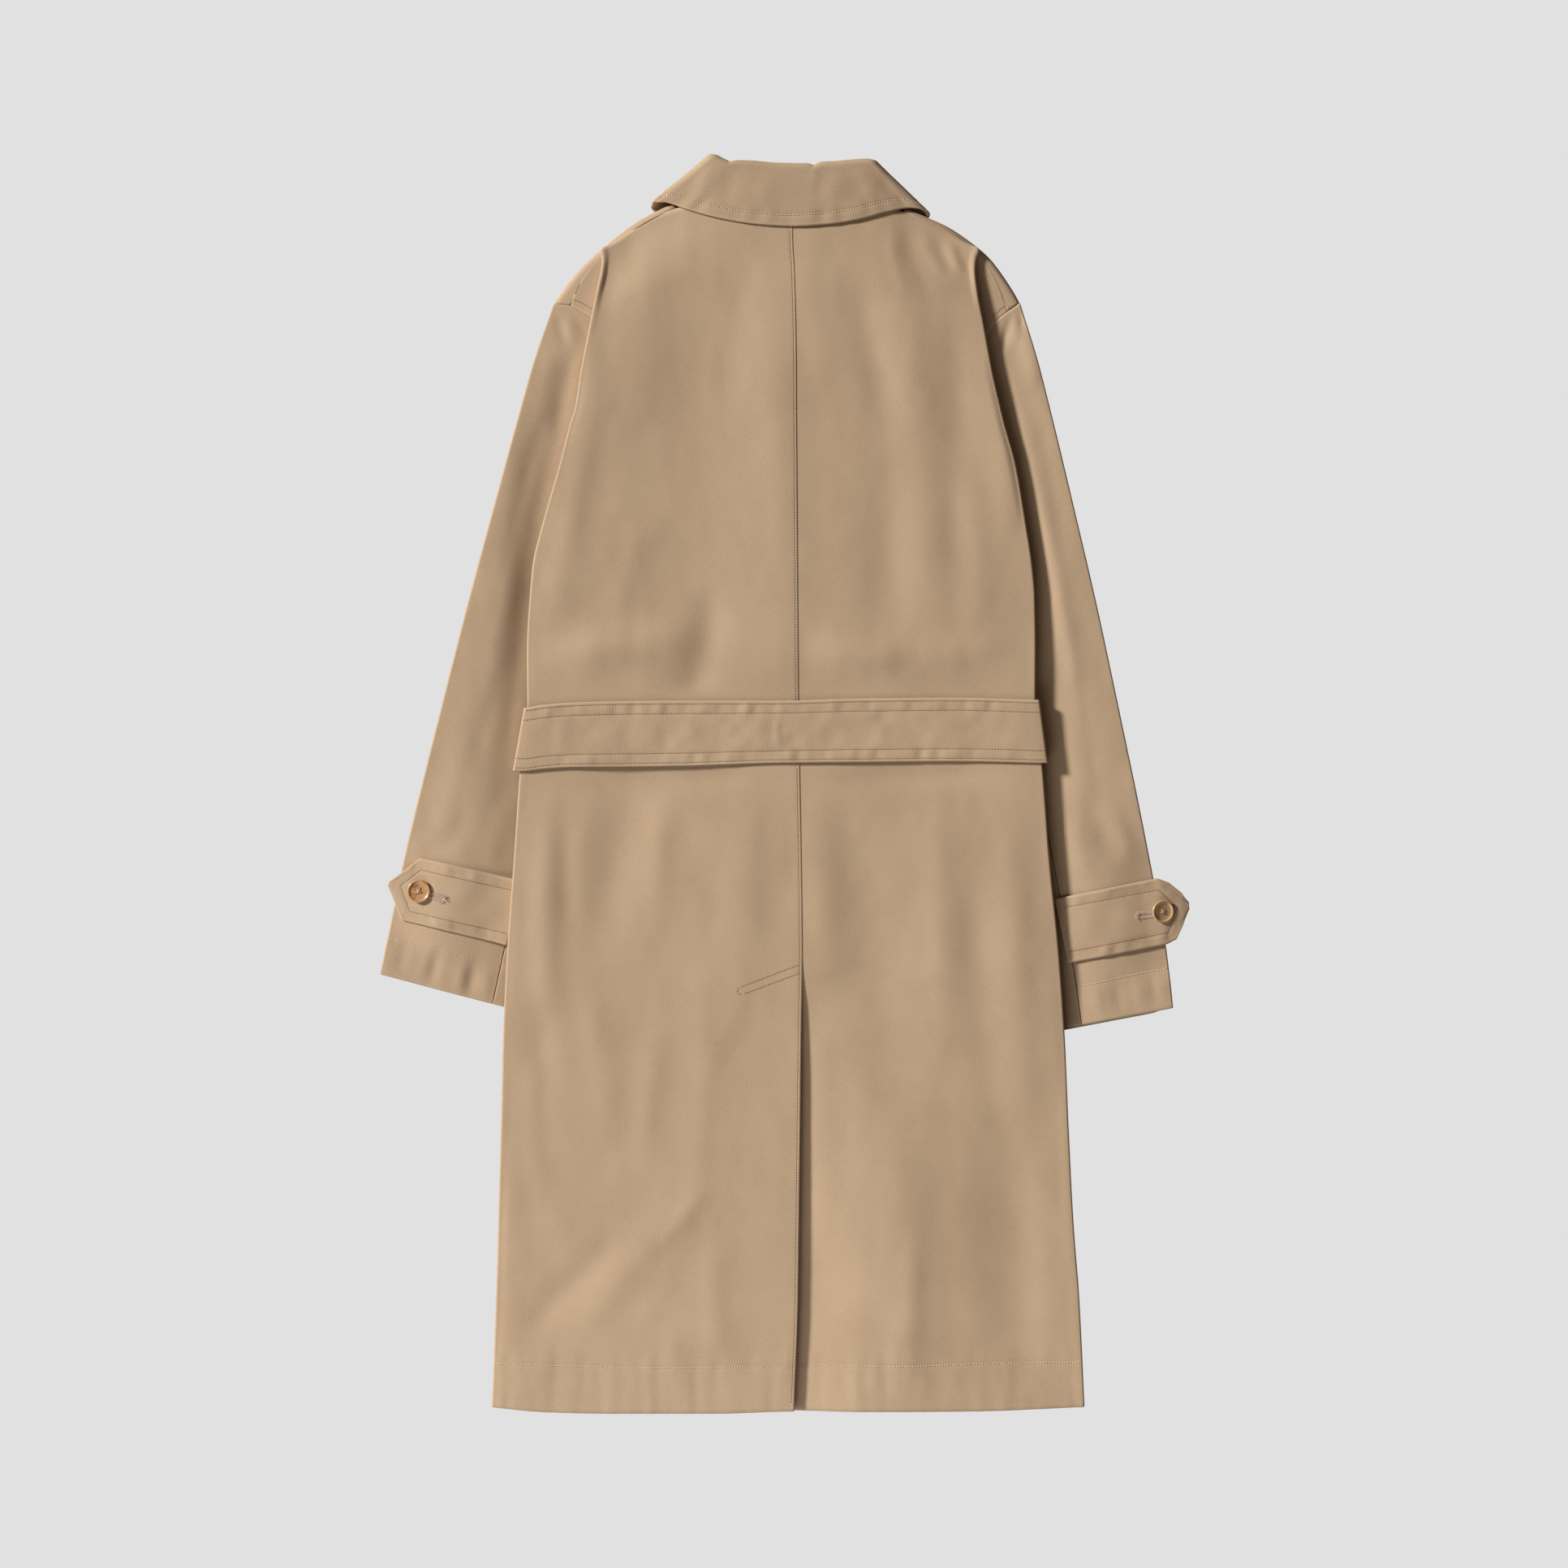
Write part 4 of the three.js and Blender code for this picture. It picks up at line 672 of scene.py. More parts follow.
def back_detail(side, x, y):
    """Creases, puckers along the sewing and the cloth's own unevenness, on top of a back panel."""
    shown = ease(BELT_COVER["near"], BELT_COVER["far"], np.abs(y - BELT_MIDDLE))
    top = ease(0, 16, BACK_TOP[side].at("y", x) - y)
    creases = soft_folds(CREASES, x, y) * shown * top
    soft = 0.34 * unevenness(x * 1.5, y * 0.55, 44, 11) + 0.12 * unevenness(x * 1.3, y * 0.7, 15, 12)
    stitch = y - HEM_STITCH[side].at("y", x)
    band = ease(24, -2, stitch)
    waves = 0.4 * unevenness(x * 1.6, y * 0.12, 13, 13) + 0.22 * unevenness(x * 1.6, y * 0.3, 6, 14)
    groove = -0.3 * bump(stitch, 1.6)
    from_seam = np.abs(x - BODY.at("seam", y))
    pull = 0.1 * unevenness(y, x * 0.2, 7, 15) * bump(from_seam, 7)
    seam_groove = -0.1 * bump(from_seam - TOPSTITCH_IN, 1.0) if side == "left" else 0
    return creases + hollows(x, y) * ease(0, 9, BACK_TOP[side].at("y", x) - y) + soft * shown * top + band * waves + groove + pull + seam_groove


# Making meshes
def perimeter(rows, columns):
    """Places round a grid's edge, in order."""
    first = [(0, j) for j in range(columns)]
    right = [(i, columns - 1) for i in range(1, rows)]
    last = [(rows - 1, j) for j in range(columns - 2, -1, -1)]
    left = [(i, 0) for i in range(rows - 2, 0, -1)]
    return np.array(first + right + last + left)


EDGE_ROUND = 0.3


def shell(name, points, thickness, finish, start=0.0):
    """A closed cloth wall round a grid of points in millimetres, with rounded free edges.

    start is where the weave begins along each row.
    """
    rows, columns = points.shape[:2]
    along = np.gradient(points, axis=0)
    sideways = np.gradient(points, axis=1)
    normal = np.cross(sideways, along)
    normal /= np.linalg.norm(normal, axis=-1, keepdims=True)
    outer = points + normal * thickness / 2
    inner = points - normal * thickness / 2
    rim = perimeter(rows, columns)
    i, j = rim[:, 0], rim[:, 1]
    away = np.zeros((len(rim), 3))
    for axis, count, vectors in ((i, rows, along), (j, columns, sideways)):
        unit = vectors[i, j] / np.linalg.norm(vectors[i, j], axis=-1, keepdims=True)
        away += unit * ((axis == count - 1).astype(float) - (axis == 0))[:, None]
    away /= np.linalg.norm(away, axis=-1, keepdims=True)
    nose = points[i, j] + away * thickness * EDGE_ROUND
    places = np.concatenate([outer.reshape(-1, 3), inner.reshape(-1, 3), nose])
    count = rows * columns
    cell = np.arange(count).reshape(rows, columns)
    a, b, c, d = cell[:-1, :-1].ravel(), cell[:-1, 1:].ravel(), cell[1:, 1:].ravel(), cell[1:, :-1].ravel()
    top = np.stack([a, d, c, b], axis=-1)
    bottom = np.stack([a, b, c, d], axis=-1) + count
    ring = i * columns + j
    following = np.roll(ring, -1)
    tip = 2 * count + np.arange(len(rim))
    next_tip = np.roll(tip, -1)
    upper = np.stack([ring, following, next_tip, tip], axis=-1)
    lower = np.stack([tip, next_tip, following + count, ring + count], axis=-1)
    faces = np.concatenate([top, bottom, upper, lower])
    corners = places[faces]
    crossed = np.cross(corners[:, 2] - corners[:, 0], corners[:, 3] - corners[:, 1])
    if np.einsum("ij,ij->", crossed, corners.mean(axis=1)) < 0:
        faces = faces[:, ::-1]
    steps = np.linalg.norm(np.diff(points, axis=1), axis=-1)
    u = np.concatenate([np.zeros((rows, 1)), np.cumsum(steps, axis=1)], axis=1)
    drops = np.linalg.norm(np.diff(points, axis=0), axis=-1)
    v = np.concatenate([np.zeros((1, columns)), np.cumsum(drops, axis=0)], axis=0)
    # The last weave component is the distance from the piece's edge. The cloth material pales near it, partly wear and
    # partly a painted highlight on the rims.
    inside = np.minimum.reduce([u, u[:, -1:] - u, v, v[-1:, :] - v])
    u = u + start
    weave = np.stack([u, v, inside], axis=-1).reshape(-1, 3)
    weave = np.concatenate([weave, weave, weave[ring]]) * MM
    piece = make_piece(name, places * MM, faces.tolist(), finish)
    attribute = piece.data.attributes.new("weave", "FLOAT_VECTOR", "POINT")
    attribute.data.foreach_set("vector", weave.ravel())
    return piece


def make_piece(name, places, faces, finish, smooth=True):
    mesh = bpy.data.meshes.new(name)
    mesh.from_pydata(places.tolist(), [], faces)
    mesh.shade_smooth() if smooth else mesh.shade_flat()
    mesh.materials.append(finish)
    piece = bpy.data.objects.new(name, mesh)
    bpy.context.scene.collection.objects.link(piece)
    return piece


def sewn(piece, *nodes, slot=CLOTH_SLOT):
    """Lets a piece ride with the coat, and stand for its solids."""
    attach(piece, BODY_NAME)
    if nodes:
        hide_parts(*nodes)
    return piece


def spread(start, end, step):
    """Evenly spaced places from a start to an end, about a step apart."""
    return np.linspace(start, end, max(int(round(abs(end - start) / step)), 1) + 1)


def joined(*stretches):
    """Stretches of places in one run, with none twice."""
    run = np.concatenate(stretches)
    keep = np.concatenate([[True], np.abs(np.diff(run)) > 1e-6])
    return run[keep]


# Back panels
CELL = 4.0
FOLD_CORNER = 0.86


def upright_fold(corner):
    """Points round a fold, from its top to its bottom: two small round corners with an upright between them.

    corner is their radius as a share of the height. Returns how far in each point lies, as a share of that
    radius, and how high, as a share of the height.
    """
    quarter = np.linspace(0, math.pi / 2, 6)
    inset = np.concatenate([1 - np.sin(quarter), 1 - np.sin(quarter[::-1])])
    upper = 1 - corner * (1 - np.cos(quarter))
    lower = corner * (1 - np.cos(quarter[::-1]))
    return inset, np.concatenate([upper, lower], axis=-1)


def back_panel(side):
    """Points of a back panel: across the back, round the fold at its side and in under itself."""
    out = SIDES[side]
    fold_rows, seam_rows = np.array(BACK_ROWS).T
    index_rows = np.arange(len(BACK_ROWS), dtype=float)
    hem_line = joined(spread(seam_rows[0], -494, CELL), spread(-494, -508, 1.3), spread(-508, seam_rows[-1], 3))
    index = np.interp(-hem_line, -seam_rows, index_rows)[:, None]
    fold_y = np.interp(index, index_rows, fold_rows)
    seam_y = np.interp(index, index_rows, seam_rows)
    under, edge = BODY.at("under", fold_y), BODY.at("edge", fold_y)
    height = edge - under
    turn_x = BODY.at(side, fold_y) - out * (HALF + FOLD_CORNER)
    opened = ease(-VENT_TOP, -VENT_FULL, -seam_y)
    underlap = mix(SEAM_LAP, VENT_UNDERLAP, opened) if side == "right" else 0
    seam_x = BODY.at("seam", seam_y) + out * SEAM_GAP / 2 - underlap
    near_seam = spread(0, 0.05, 0.005)
    near_fold = np.array([0.99, 0.994, 0.997, 0.9985, 1])
    share = joined(near_seam, spread(0.05, 0.95, 3.4 / 240), spread(0.95, 0.98, 0.01), near_fold)[None, :]
    x = mix(seam_x, turn_x, share)
    level = mix(seam_y, fold_y, share)
    top_level = mix(seam_rows[0], fold_rows[0], share)
    pulled = level + (1 - ease(0, TOP_ROWS, index)) * (BACK_TOP[side].at("y", x) - top_level)
    last = np.clip(index - (len(BACK_ROWS) - 2), 0, 1)
    y = np.where(last > 0, mix(mix(seam_rows[-2], fold_rows[-2], share), HEM.at("y", x), last), pulled)
    drop = 0
    if side == "right":
        drop = LAP.at("drop", y) * (1 - ease(0, VENT_RECOVERY, x - BODY.at("seam", y)))
    settle = 1 - ease(0.93, 1, share)
    z = mix(edge, back_height(x, y) - drop + back_detail(side, x, y), np.minimum(settle * 4, 1))
    z = np.where(share == 1, edge, z)
    top = points_of(x, y, z)
    inset, fall = upright_fold(FOLD_CORNER / height)
    fold_bottom = np.where(last > 0, mix(fold_rows[-2], HEM.at("y", turn_x), last), fold_y)
    rounded = points_of(turn_x + out * FOLD_CORNER * (1 - inset[1:]), fold_bottom, under + height * fall[:, 1:])
    width = np.maximum(BODY.at("turned", fold_y) - FOLD_CORNER - HALF, 1)
    inward = turn_x - out * width * np.linspace(0, 1, 7)[None, 1:]
    folded = points_of(inward, np.where(last > 0, mix(fold_rows[-2], HEM.at("y", inward), last), fold_y), under)
    return np.concatenate([top, rounded, folded], axis=1), -underlap


def shoulder_point(side, share, distance):
    """A place inside a shoulder's outer edge, and how far the shoulder seam lies inside that edge."""
    rows = np.array(SHOULDER[side])
    row = share * (len(rows) - 1)
    low = min(int(row), len(rows) - 2)
    here = mix(rows[low], rows[low + 1], row - low)
    before = rows[max(math.ceil(row) - 1, 0)]
    after = rows[min(int(row) + 1, len(rows) - 1)]
    inward = np.array([after[1] - before[1], before[0] - after[0]])
    inward *= SIDES[side] * distance / np.linalg.norm(inward)
    return here[0] + inward[0], here[1] + inward[1], here[2]


def shoulder_cap(side):
    """Points of the shoulder point that shows past the back's fold."""
    rows = []
    across = np.array(CAP_ACROSS)
    for shoulder, inner_x, inner_y, inner_z in CAP[side]:
        inset = shoulder_point(side, shoulder, 0)[2]
        x, y, _ = shoulder_point(side, shoulder, inset - SHOULDER_LAP)
        z = mix(CAP_LEVEL, inner_z, ease(CAP_RISE_START, 1, across))
        rows.append(points_of(mix(x, inner_x, across), mix(y, inner_y, across), z))
    share = np.array(CAP_SHARES)
    x = ARMHOLE[side].at("back_x", share)
    x[0] -= SIDES[side] * SEAM_GAP
    z = mix(CAP_LEVEL, CAP_END_LEVEL, ease(CAP_RISE_START, 1, across))
    rows.append(points_of(x, ARMHOLE[side].at("back_y", share) + SEAM_GAP, z))
    return refined(np.array(rows), 34, 28)


def refined(points, down, across):
    """A grid of points read more finely, on smooth curves through its rows and columns."""
    rows, columns = points.shape[:2]
    finer = through(np.arange(rows), points, np.linspace(0, rows - 1, down))
    finer = through(np.arange(columns), finer.transpose(1, 0, 2), np.linspace(0, columns - 1, across))
    return finer.transpose(1, 0, 2)


# Sleeves. CUFF_UNDER: how far the lower wall of a cuff reaches past its upper wall.
CUFF_UNDER = {"left": 0.0, "right": 2.0}


def sleeve_height(share, level, along):
    """Height of a sleeve's wall."""
    shown = SLEEVE_HEIGHT.at("shown", along)
    bulge = np.sin(math.pi * np.minimum(share / shown, 1)) ** 2
    near_underarm = ease(UNDERARM_SHARE, 1, share)
    underarm = near_underarm * (1 - ease(0, UNDERARM_REACH, along))
    above = ease(ARMHOLE_SHARE["from"], ARMHOLE_SHARE["to"], share) * (1 - near_underarm)
    armhole = above * (1 - ease(0, ARMHOLE_REACH, along))
    high = SLEEVE_HEIGHT.at("edge", along) + SLEEVE_HEIGHT.at("crown", along) * bulge
    high += ARMHOLE_LIFT * armhole - UNDERARM_PINCH * underarm
    return FLOOR + UNDERARM_LIFT * underarm + level * high


def sleeve_points(side, share, level, along):
    """Points of a sleeve, by share across, level from the lower wall to the upper, and place along it."""
    sleeve, armhole = SLEEVE[side], ARMHOLE[side]
    in_front = level < 0.5
    seam_x = np.where(in_front, armhole.at("front_x", share), armhole.at("back_x", share))
    seam_y = np.where(in_front, armhole.at("front_y", share), armhole.at("back_y", share))
    cuff_x = sleeve["cuff"][0] + sleeve["across"][0] * CUFF_WIDTH * share
    cuff_y = sleeve["cuff"][1] + sleeve["across"][1] * CUFF_WIDTH * share
    inset = HALF * (1 - np.minimum(share / OUTER_FOLD_SHARE, 1))
    bow = sleeve["bow"].at("out", along) * (1 - share) - inset
    x = mix(seam_x, cuff_x, along) - sleeve["across"][0] * bow
    y = mix(seam_y, cuff_y, along) - sleeve["across"][1] * bow
    return x, y, sleeve_height(share, level, along)


# The sewing of each cuff's hem, as a path in plan
CUFF_STITCH = {
    "left": ((-341.5, -132.8), (-310, -141.0), (-244, -157.9)),
    "right": ((250, -175.4), (267.8, -171.9), (295.8, -165.6), (331.5, -158.6)),
}


# How each sleeve sinks towards the body: depth, how far inside the body's edge the lowest place is, and width
SLEEVE_DIP = {
    "left": Table(
        "y depth inside width",
        (405, -1.0, -16, 14),
        (293, -2.8, -19, 15),
        (255, -3.5, -13, 17),
        (219, -4.4, -7, 20),
        (173, -5.2, 3, 23),
        (120, -5.5, 9, 24),
        (60, -5.6, 13, 25),
        (-30, -5.4, 12, 23),
        (-90, -4.8, 10, 21),
        (-200, -4.0, 8, 20),
    ),
    "right": Table("y depth inside width", (405, -1.2, 8, 20), (100, -1.6, 8, 24), (-200, -1.4, 8, 22)),
}

# How far the outer fold of each sleeve lies above its solid's, clear of the cuff strap
SLEEVE_LIFT = {
    "left": Table(
        "along rise",
        (0, 0),
        (0.1, 3.2),
        (0.3, 5.0),
        (0.5, 5.4),
        (0.66, 4.6),
        (0.76, 3.0),
        (0.82, 0.6),
        (0.84, 0),
        (0.93, 0),
        (0.97, 3.8),
        (1, 3.8),
    ),
    "right": Table("along rise", (0, 0), (0.1, 4.8), (0.66, 4.8), (0.76, 3.4), (0.82, 0.6), (0.84, 0), (0.93, 0), (0.97, 4.6), (1, 4.6)),
}
SLEEVE_SWELL = {"left": 0.6, "right": 0.0}
WALLS_APART = 0.05


def sleeve_lift(side, share, along):
    across = np.cos(np.minimum(share / SLEEVE_HEIGHT.at("shown", along), 0.5) * math.pi) ** 2
    swell = SLEEVE_SWELL[side] * bump(share * CUFF_WIDTH - 22, 14) * ease(0.1, 0.4, along) * ease(0.8, 0.65, along)
    return SLEEVE_LIFT[side].at("rise", along) * across + swell



def sleeve_detail(side, x, y, share, along):
    """Creases and puckers on top of a sleeve."""
    creases = soft_folds(SLEEVE_CREASES[side], x, y)
    soft = 0.35 * unevenness(x * 1.6, y * 0.5, 36, 21) + 0.14 * unevenness(x * 1.5, y * 0.8, 13, 22)
    head = ease(0.075, 0.004, along) * ease(0.04, 0.1, share)
    gathers = 0.34 * head * unevenness(share * 150, along * 90, 7.5, 23)
    from_body = (BODY.at(side, y) - x) * SIDES[side]
    depth, inside, width = (SLEEVE_DIP[side].at(column, y) for column in ("depth", "inside", "width"))
    dip = depth * bump(from_body - inside, width) * ease(0.01, 0.16, along)
    dip = dip + sleeve_lift(side, share, along)
    stitch = distance_to(CUFF_STITCH[side], x, y)
    below = ease(-6, 6, (along - 0.955) * 600)
    waves = 0.26 * below * unevenness(share * 150, along * 60, 9, 24)
    under_strap = ease(0.8, 0.84, along) * ease(0.97, 0.93, along)
    top = (creases + soft) * (1 - 0.85 * under_strap) + dip
    return top * ease(0, 0.03, along) + gathers + waves - 0.3 * bump(stitch, 1.5)


def sleeve_tube(side):
    """Points of a sleeve, from one edge of its back seam over the outer fold and back to the other."""
    seam, gap = SLEEVE[side]["seam"], (SEAM_GAP / 2 + EDGE_ROUND * CLOTH) / CUFF_WIDTH
    inset, fall = upright_fold(ROLL_CORNER)
    roll = ROLL_SHARE * inset
    close = np.array([0, 0.003, 0.007])
    near_roll = np.array([0.022, 0.014, 0.01, 0.0076, ROLL_SHARE])
    shares = [
        joined(seam - gap - close, spread(seam - gap - 0.012, 0.035, 3.2 / CUFF_WIDTH), near_roll),
        roll[1:],
        spread(ROLL_SHARE, 1 - ROLL_SHARE, 0.05)[1:],
        1 - roll[1:],
        joined(spread(1 - ROLL_SHARE, seam + gap + 0.012, 0.03)[1:], seam + gap + close[::-1]),
    ]
    levels = [
        np.ones(len(shares[0])),
        fall[1:],
        np.zeros(len(shares[2])),
        1 - fall[1:],
        np.ones(len(shares[4])),
    ]
    share, level = np.concatenate(shares)[None, :], np.concatenate(levels)[None, :]
    along = joined(spread(0, 0.05, 0.0035), spread(0.05, 0.9, 0.0068), spread(0.9, 1, 0.0035))[:, None]
    x, y, z = sleeve_points(side, share, level, along)
    low_hem = (1 - level) * ease(0.96, 1, along) * ease(0.03, 0.12, share) * ease(0.98, 0.8, share)
    y = y - CUFF_UNDER[side] * low_hem
    on_top = ease(0.5, 1, level) * ease(0.98, 0.9, share)
    z = z + on_top * sleeve_detail(side, x, y, share, along)
    z = np.where(level == 1, np.maximum(z, FLOOR + CLOTH + WALLS_APART), z)
    return points_of(x, y, z)


def sleeve_top(side, x, y):
    """Height of a sleeve's upper face under places, found by halving the share across."""
    out, sleeve = SIDES[side], SLEEVE[side]

    def along_of(share):
        top = ARMHOLE[side].at("back_y", share)
        bottom = sleeve["cuff"][1] + sleeve["across"][1] * CUFF_WIDTH * share
        return (top - y) / (top - bottom)

    low, high = np.full(x.shape, 0.08), np.ones(x.shape)
    for _ in range(20):
        middle = (low + high) / 2
        at_x = sleeve_points(side, middle, np.ones(x.shape), along_of(middle))[0]
        outside = (at_x - x) * out > 0
        low, high = np.where(outside, middle, low), np.where(outside, high, middle)
    return sleeve_height(low, 1.0, along_of(low)) + HALF


# Collar
def collar_rows():
    """The stations of the collar, read finely."""
    stations = np.array(COLLAR_STATIONS)
    place = np.linspace(0, len(stations) - 1, 230)
    return dict(zip(COLLAR_COLUMNS.split()[1:], through(np.arange(len(stations)), stations, place).T))


COLLAR_STITCH_IN = 9.0
COLLAR_DENTS = ((-44.5, 1.5, 3.0), (-50, 0.5, 5), (25.5, 1.8, 3.2), (35, -0.8, 6))
COLLAR_CREASES = (
    (-44, 536, -52, 527, 2.6, -1.0, 1),
    (25, 534, 22, 525, 2.6, -1.0, 1),
    (-60, 534, -74, 500, 6, 0.7, 2),
    (-40, 532, -52, 492, 8, -0.6, 2),
    (-10, 530, -16, 492, 9, 0.5, 2),
    (40, 532, 30, 500, 8, -0.5, 2),
    (62, 532, 78, 500, 7, 0.6, -2),
    (84, 522, 100, 500, 6, -0.5, 2),
)


def collar_points():
    """Points of the collar: from inside the roll, over it and down to the free edge."""
    row = collar_rows()
    level = row["level"][:, None]
    up = np.stack([row["fold_x"] - row["edge_x"], row["fold_y"] - row["edge_y"]], axis=-1)
    up /= np.linalg.norm(up, axis=-1, keepdims=True)
    up = np.concatenate([up, np.zeros((len(up), 1))], axis=1)
    tilt = row["level"] * 2 - 1
    lean = np.sqrt(np.clip(1 - tilt * tilt, 0, 1)) * np.where(row["fold_x"] < FRONT_CENTRE, 1, -1)
    out = np.stack([-up[:, 1] * lean, up[:, 0] * lean, tilt], axis=-1)
    outer = mix(COLLAR_FALL_UNDER, COLLAR_FALL_TOP, row["level"])
    half_under = (STAND_UNDER - COLLAR_FALL_UNDER) / 2
    radius = mix(half_under, (COLLAR_FALL_TOP - STAND_TOP) / 2, row["level"])[:, None]
    fold = np.stack([row["fold_x"], row["fold_y"], outer], axis=-1) - up * (radius + COLLAR_CLOTH / 2)
    for dent_x, depth, width in COLLAR_DENTS:
        fold -= up * (depth * bump(row["fold_x"] - dent_x, width) * (row["level"] > 0.9))[:, None]
    centre = fold - out * radius
    columns = [centre - out * radius - up * (COLLAR_IN - radius) * share for share in (1, 0.66, 0.33)]
    for angle in np.linspace(math.pi, 0, 13):
        columns.append(centre + out * radius * math.cos(angle) + up * radius * math.sin(angle))
    start = columns[-1]
    on_back = back_height(row["edge_x"], row["edge_y"]) + COLLAR_REST
    edge_z = mix(COLLAR_FALL_UNDER, on_back, row["level"])
    edge = np.stack([row["edge_x"], row["edge_y"], edge_z], axis=-1)
    length = np.linalg.norm(edge - start, axis=-1)[:, None]
    for down in joined(spread(0, 0.7, 0.04), spread(0.7, 1, 0.022))[1:]:
        at = mix(start, edge, down)
        inside = length[:, 0] * (1 - down)
        puckers = 0.55 * unevenness(np.arange(len(at)) * 2.2, inside * 0.25, 7, 31)
        near = bump(inside - 6, 7.5)
        soft = 0.6 * unevenness(at[:, 0], at[:, 1], 24, 32) * math.sin(math.pi * down)
        creases = soft_folds(COLLAR_CREASES, at[:, 0], at[:, 1]) * math.sin(math.pi * min(down * 1.2, 1))
        rise = puckers * near + soft + creases - 0.42 * bump(inside - COLLAR_STITCH_IN, 1.4)
        at = at + out * (rise * ease(0.2, 1, row["level"]))[:, None]
        columns.append(at)
    return np.stack(columns, axis=1)


# Belt
BELT_STITCHES = (2.2, 10.3, BELT_WIDTH - 10.4, BELT_WIDTH - 2.2)


def sleeve_inner(side, y):
    """X of a sleeve's inner fold at a height."""
    sleeve = SLEEVE[side]
    cuff_x = sleeve["cuff"][0] + sleeve["across"][0] * CUFF_WIDTH
    cuff_y = sleeve["cuff"][1] + sleeve["across"][1] * CUFF_WIDTH
    under_x, under_y = ARMHOLE[side].rows[-1][1:3]
    share = (under_y - y) / (under_y - cuff_y)
    return mix(under_x, cuff_x, np.clip(share, 0, SLEEVE_END))


def belt_points():
    """Points of the belt: one loop from under the coat, over its back and under it again."""
    lines = np.array(BELT_STITCHES)
    share = joined(
        [0, 0.9, 1.6],
        lines[0] + np.array([0, 0.6, 1.4]),
        spread(5, 9, 2),
        lines[1] + np.array([-0.7, 0, 0.7]),
        spread(12.5, 41.5, 2.3),
        lines[2] + np.array([-0.7, 0, 0.7]),
        spread(45.5, 49.5, 2),
        lines[3] + np.array([-1.4, -0.6, 0]),
        [52.4, 53.1, 54],
    )[None, :] / BELT_WIDTH

    def level(x):
        return mix(BELT.at("top", x), BELT.at("bottom", x), share)

    def under(side, x, extra):
        y = level(x)
        over = (sleeve_inner(side, y) - x) * SIDES[side]
        return points_of(x, y, mix(BELT_UNDER, BELT_ON_FLOOR, ease(0, BELT_SETTLE, over)) + extra)

    def from_end(side, distance):
        top_x, bottom_x = BELT_ENDS[side]
        return mix(top_x, bottom_x, share) - SIDES[side] * distance

    def turn(side):
        edge_x = from_end(side, BELT_CLOTH / 2)
        y = level(edge_x)
        height = BODY.at("edge", y) + BELT_REST - BELT_UNDER
        inset, fall = upright_fold(BELT_CORNER / height.T)
        x = edge_x - SIDES[side] * BELT_CORNER * inset[:, None]
        return points_of(x, y, BELT_UNDER + height * fall.T)

    def on_top(side, places):
        middle_y = BELT_MIDDLE + (0.5 - share) * BELT_WIDTH
        radius = (BODY.at("edge", middle_y) - BODY.at("under", middle_y)) / 2
        turn_x = BODY.at(side, middle_y) - SIDES[side] * (HALF + radius)
        x = mix(BODY.at("seam", middle_y), turn_x, places[:, None])
        y = level(x)
        inside = ease(1, 0.9, places[:, None])
        return points_of(x, y, back_height(x, y) + BELT_REST + inside * belt_detail(x, y, share))

    near_end = np.array([1, 0.998, 0.995, 0.989])
    distance = spread(14, 160, 7)[:, None]
    lapped = BELT_OVERLAP_LEVEL - BELT_ON_FLOOR
    lap_rise = lapped * ease(BELT_LAP_RISE["from"], BELT_LAP_RISE["to"], distance)
    to_end = spread(FRONT_CENTRE + BELT_OVERLAP, -50, 9)[:, None]
    to_start = spread(56, FRONT_CENTRE - BELT_OVERLAP, 9)[:, None]
    return np.concatenate([
        under("left", to_end, lapped),
        under("left", from_end("left", distance[::-1]), lap_rise[::-1]),
        turn("left")[::-1],
        on_top("left", joined(near_end, spread(0.98, 0, 2.4 / 228))),
        on_top("right", joined(spread(0, 0.98, 2.4 / 206), near_end[::-1])[1:]),
        turn("right"),
        under("right", from_end("right", distance), 0),
        under("right", to_start, 0),
    ])


BELT_CREASES = (
    (-4, 58, -4, 30, 2.6, 0.55, 2),
    (-16, 60, -20, 30, 8, 0.5, 2),
    (6, 54, 8, 36, 5, -0.3, 0),
    (-118, 62, -104, 34, 14, 0.5, 3),
    (60, 58, 84, 32, 12, 0.5, -3),
    (128, 60, 110, 34, 10, -0.4, 2),
)


def belt_detail(x, y, share):
    """Puckers between the rows of sewing and the soft creases of the belt."""
    inside = share * BELT_WIDTH
    grooves = sum(-0.26 * bump(inside - line, 0.9) for line in BELT_STITCHES)
    near_top, near_bottom = bump(inside - 6, 4.5), bump(inside - BELT_WIDTH + 6, 4.5)
    puckers = 0.8 * unevenness(x, inside * 0.2, 7.5, 41) * near_top
    puckers = puckers + 0.8 * unevenness(x, inside * 0.2, 7.5, 42) * near_bottom
    middle = np.sin(math.pi * share)
    soft = 0.8 * unevenness(x, inside * 0.9, 24, 43) + 0.4 * unevenness(x, inside, 11, 44)
    creases = soft_folds(BELT_CREASES, x, y)
    return grooves + puckers + soft * middle + creases


# Cuff straps
STRAP_STITCH = {
    "left": ((-235.6, -91.3), (-313.3, -73.9), (-330.8, -87.5), (-323.1, -109.6), (-237.7, -129.2)),
    "right": ((241.9, -106.1), (322.4, -91.1), (339.2, -106.8), (331.2, -127.8), (245.4, -144.6)),
}


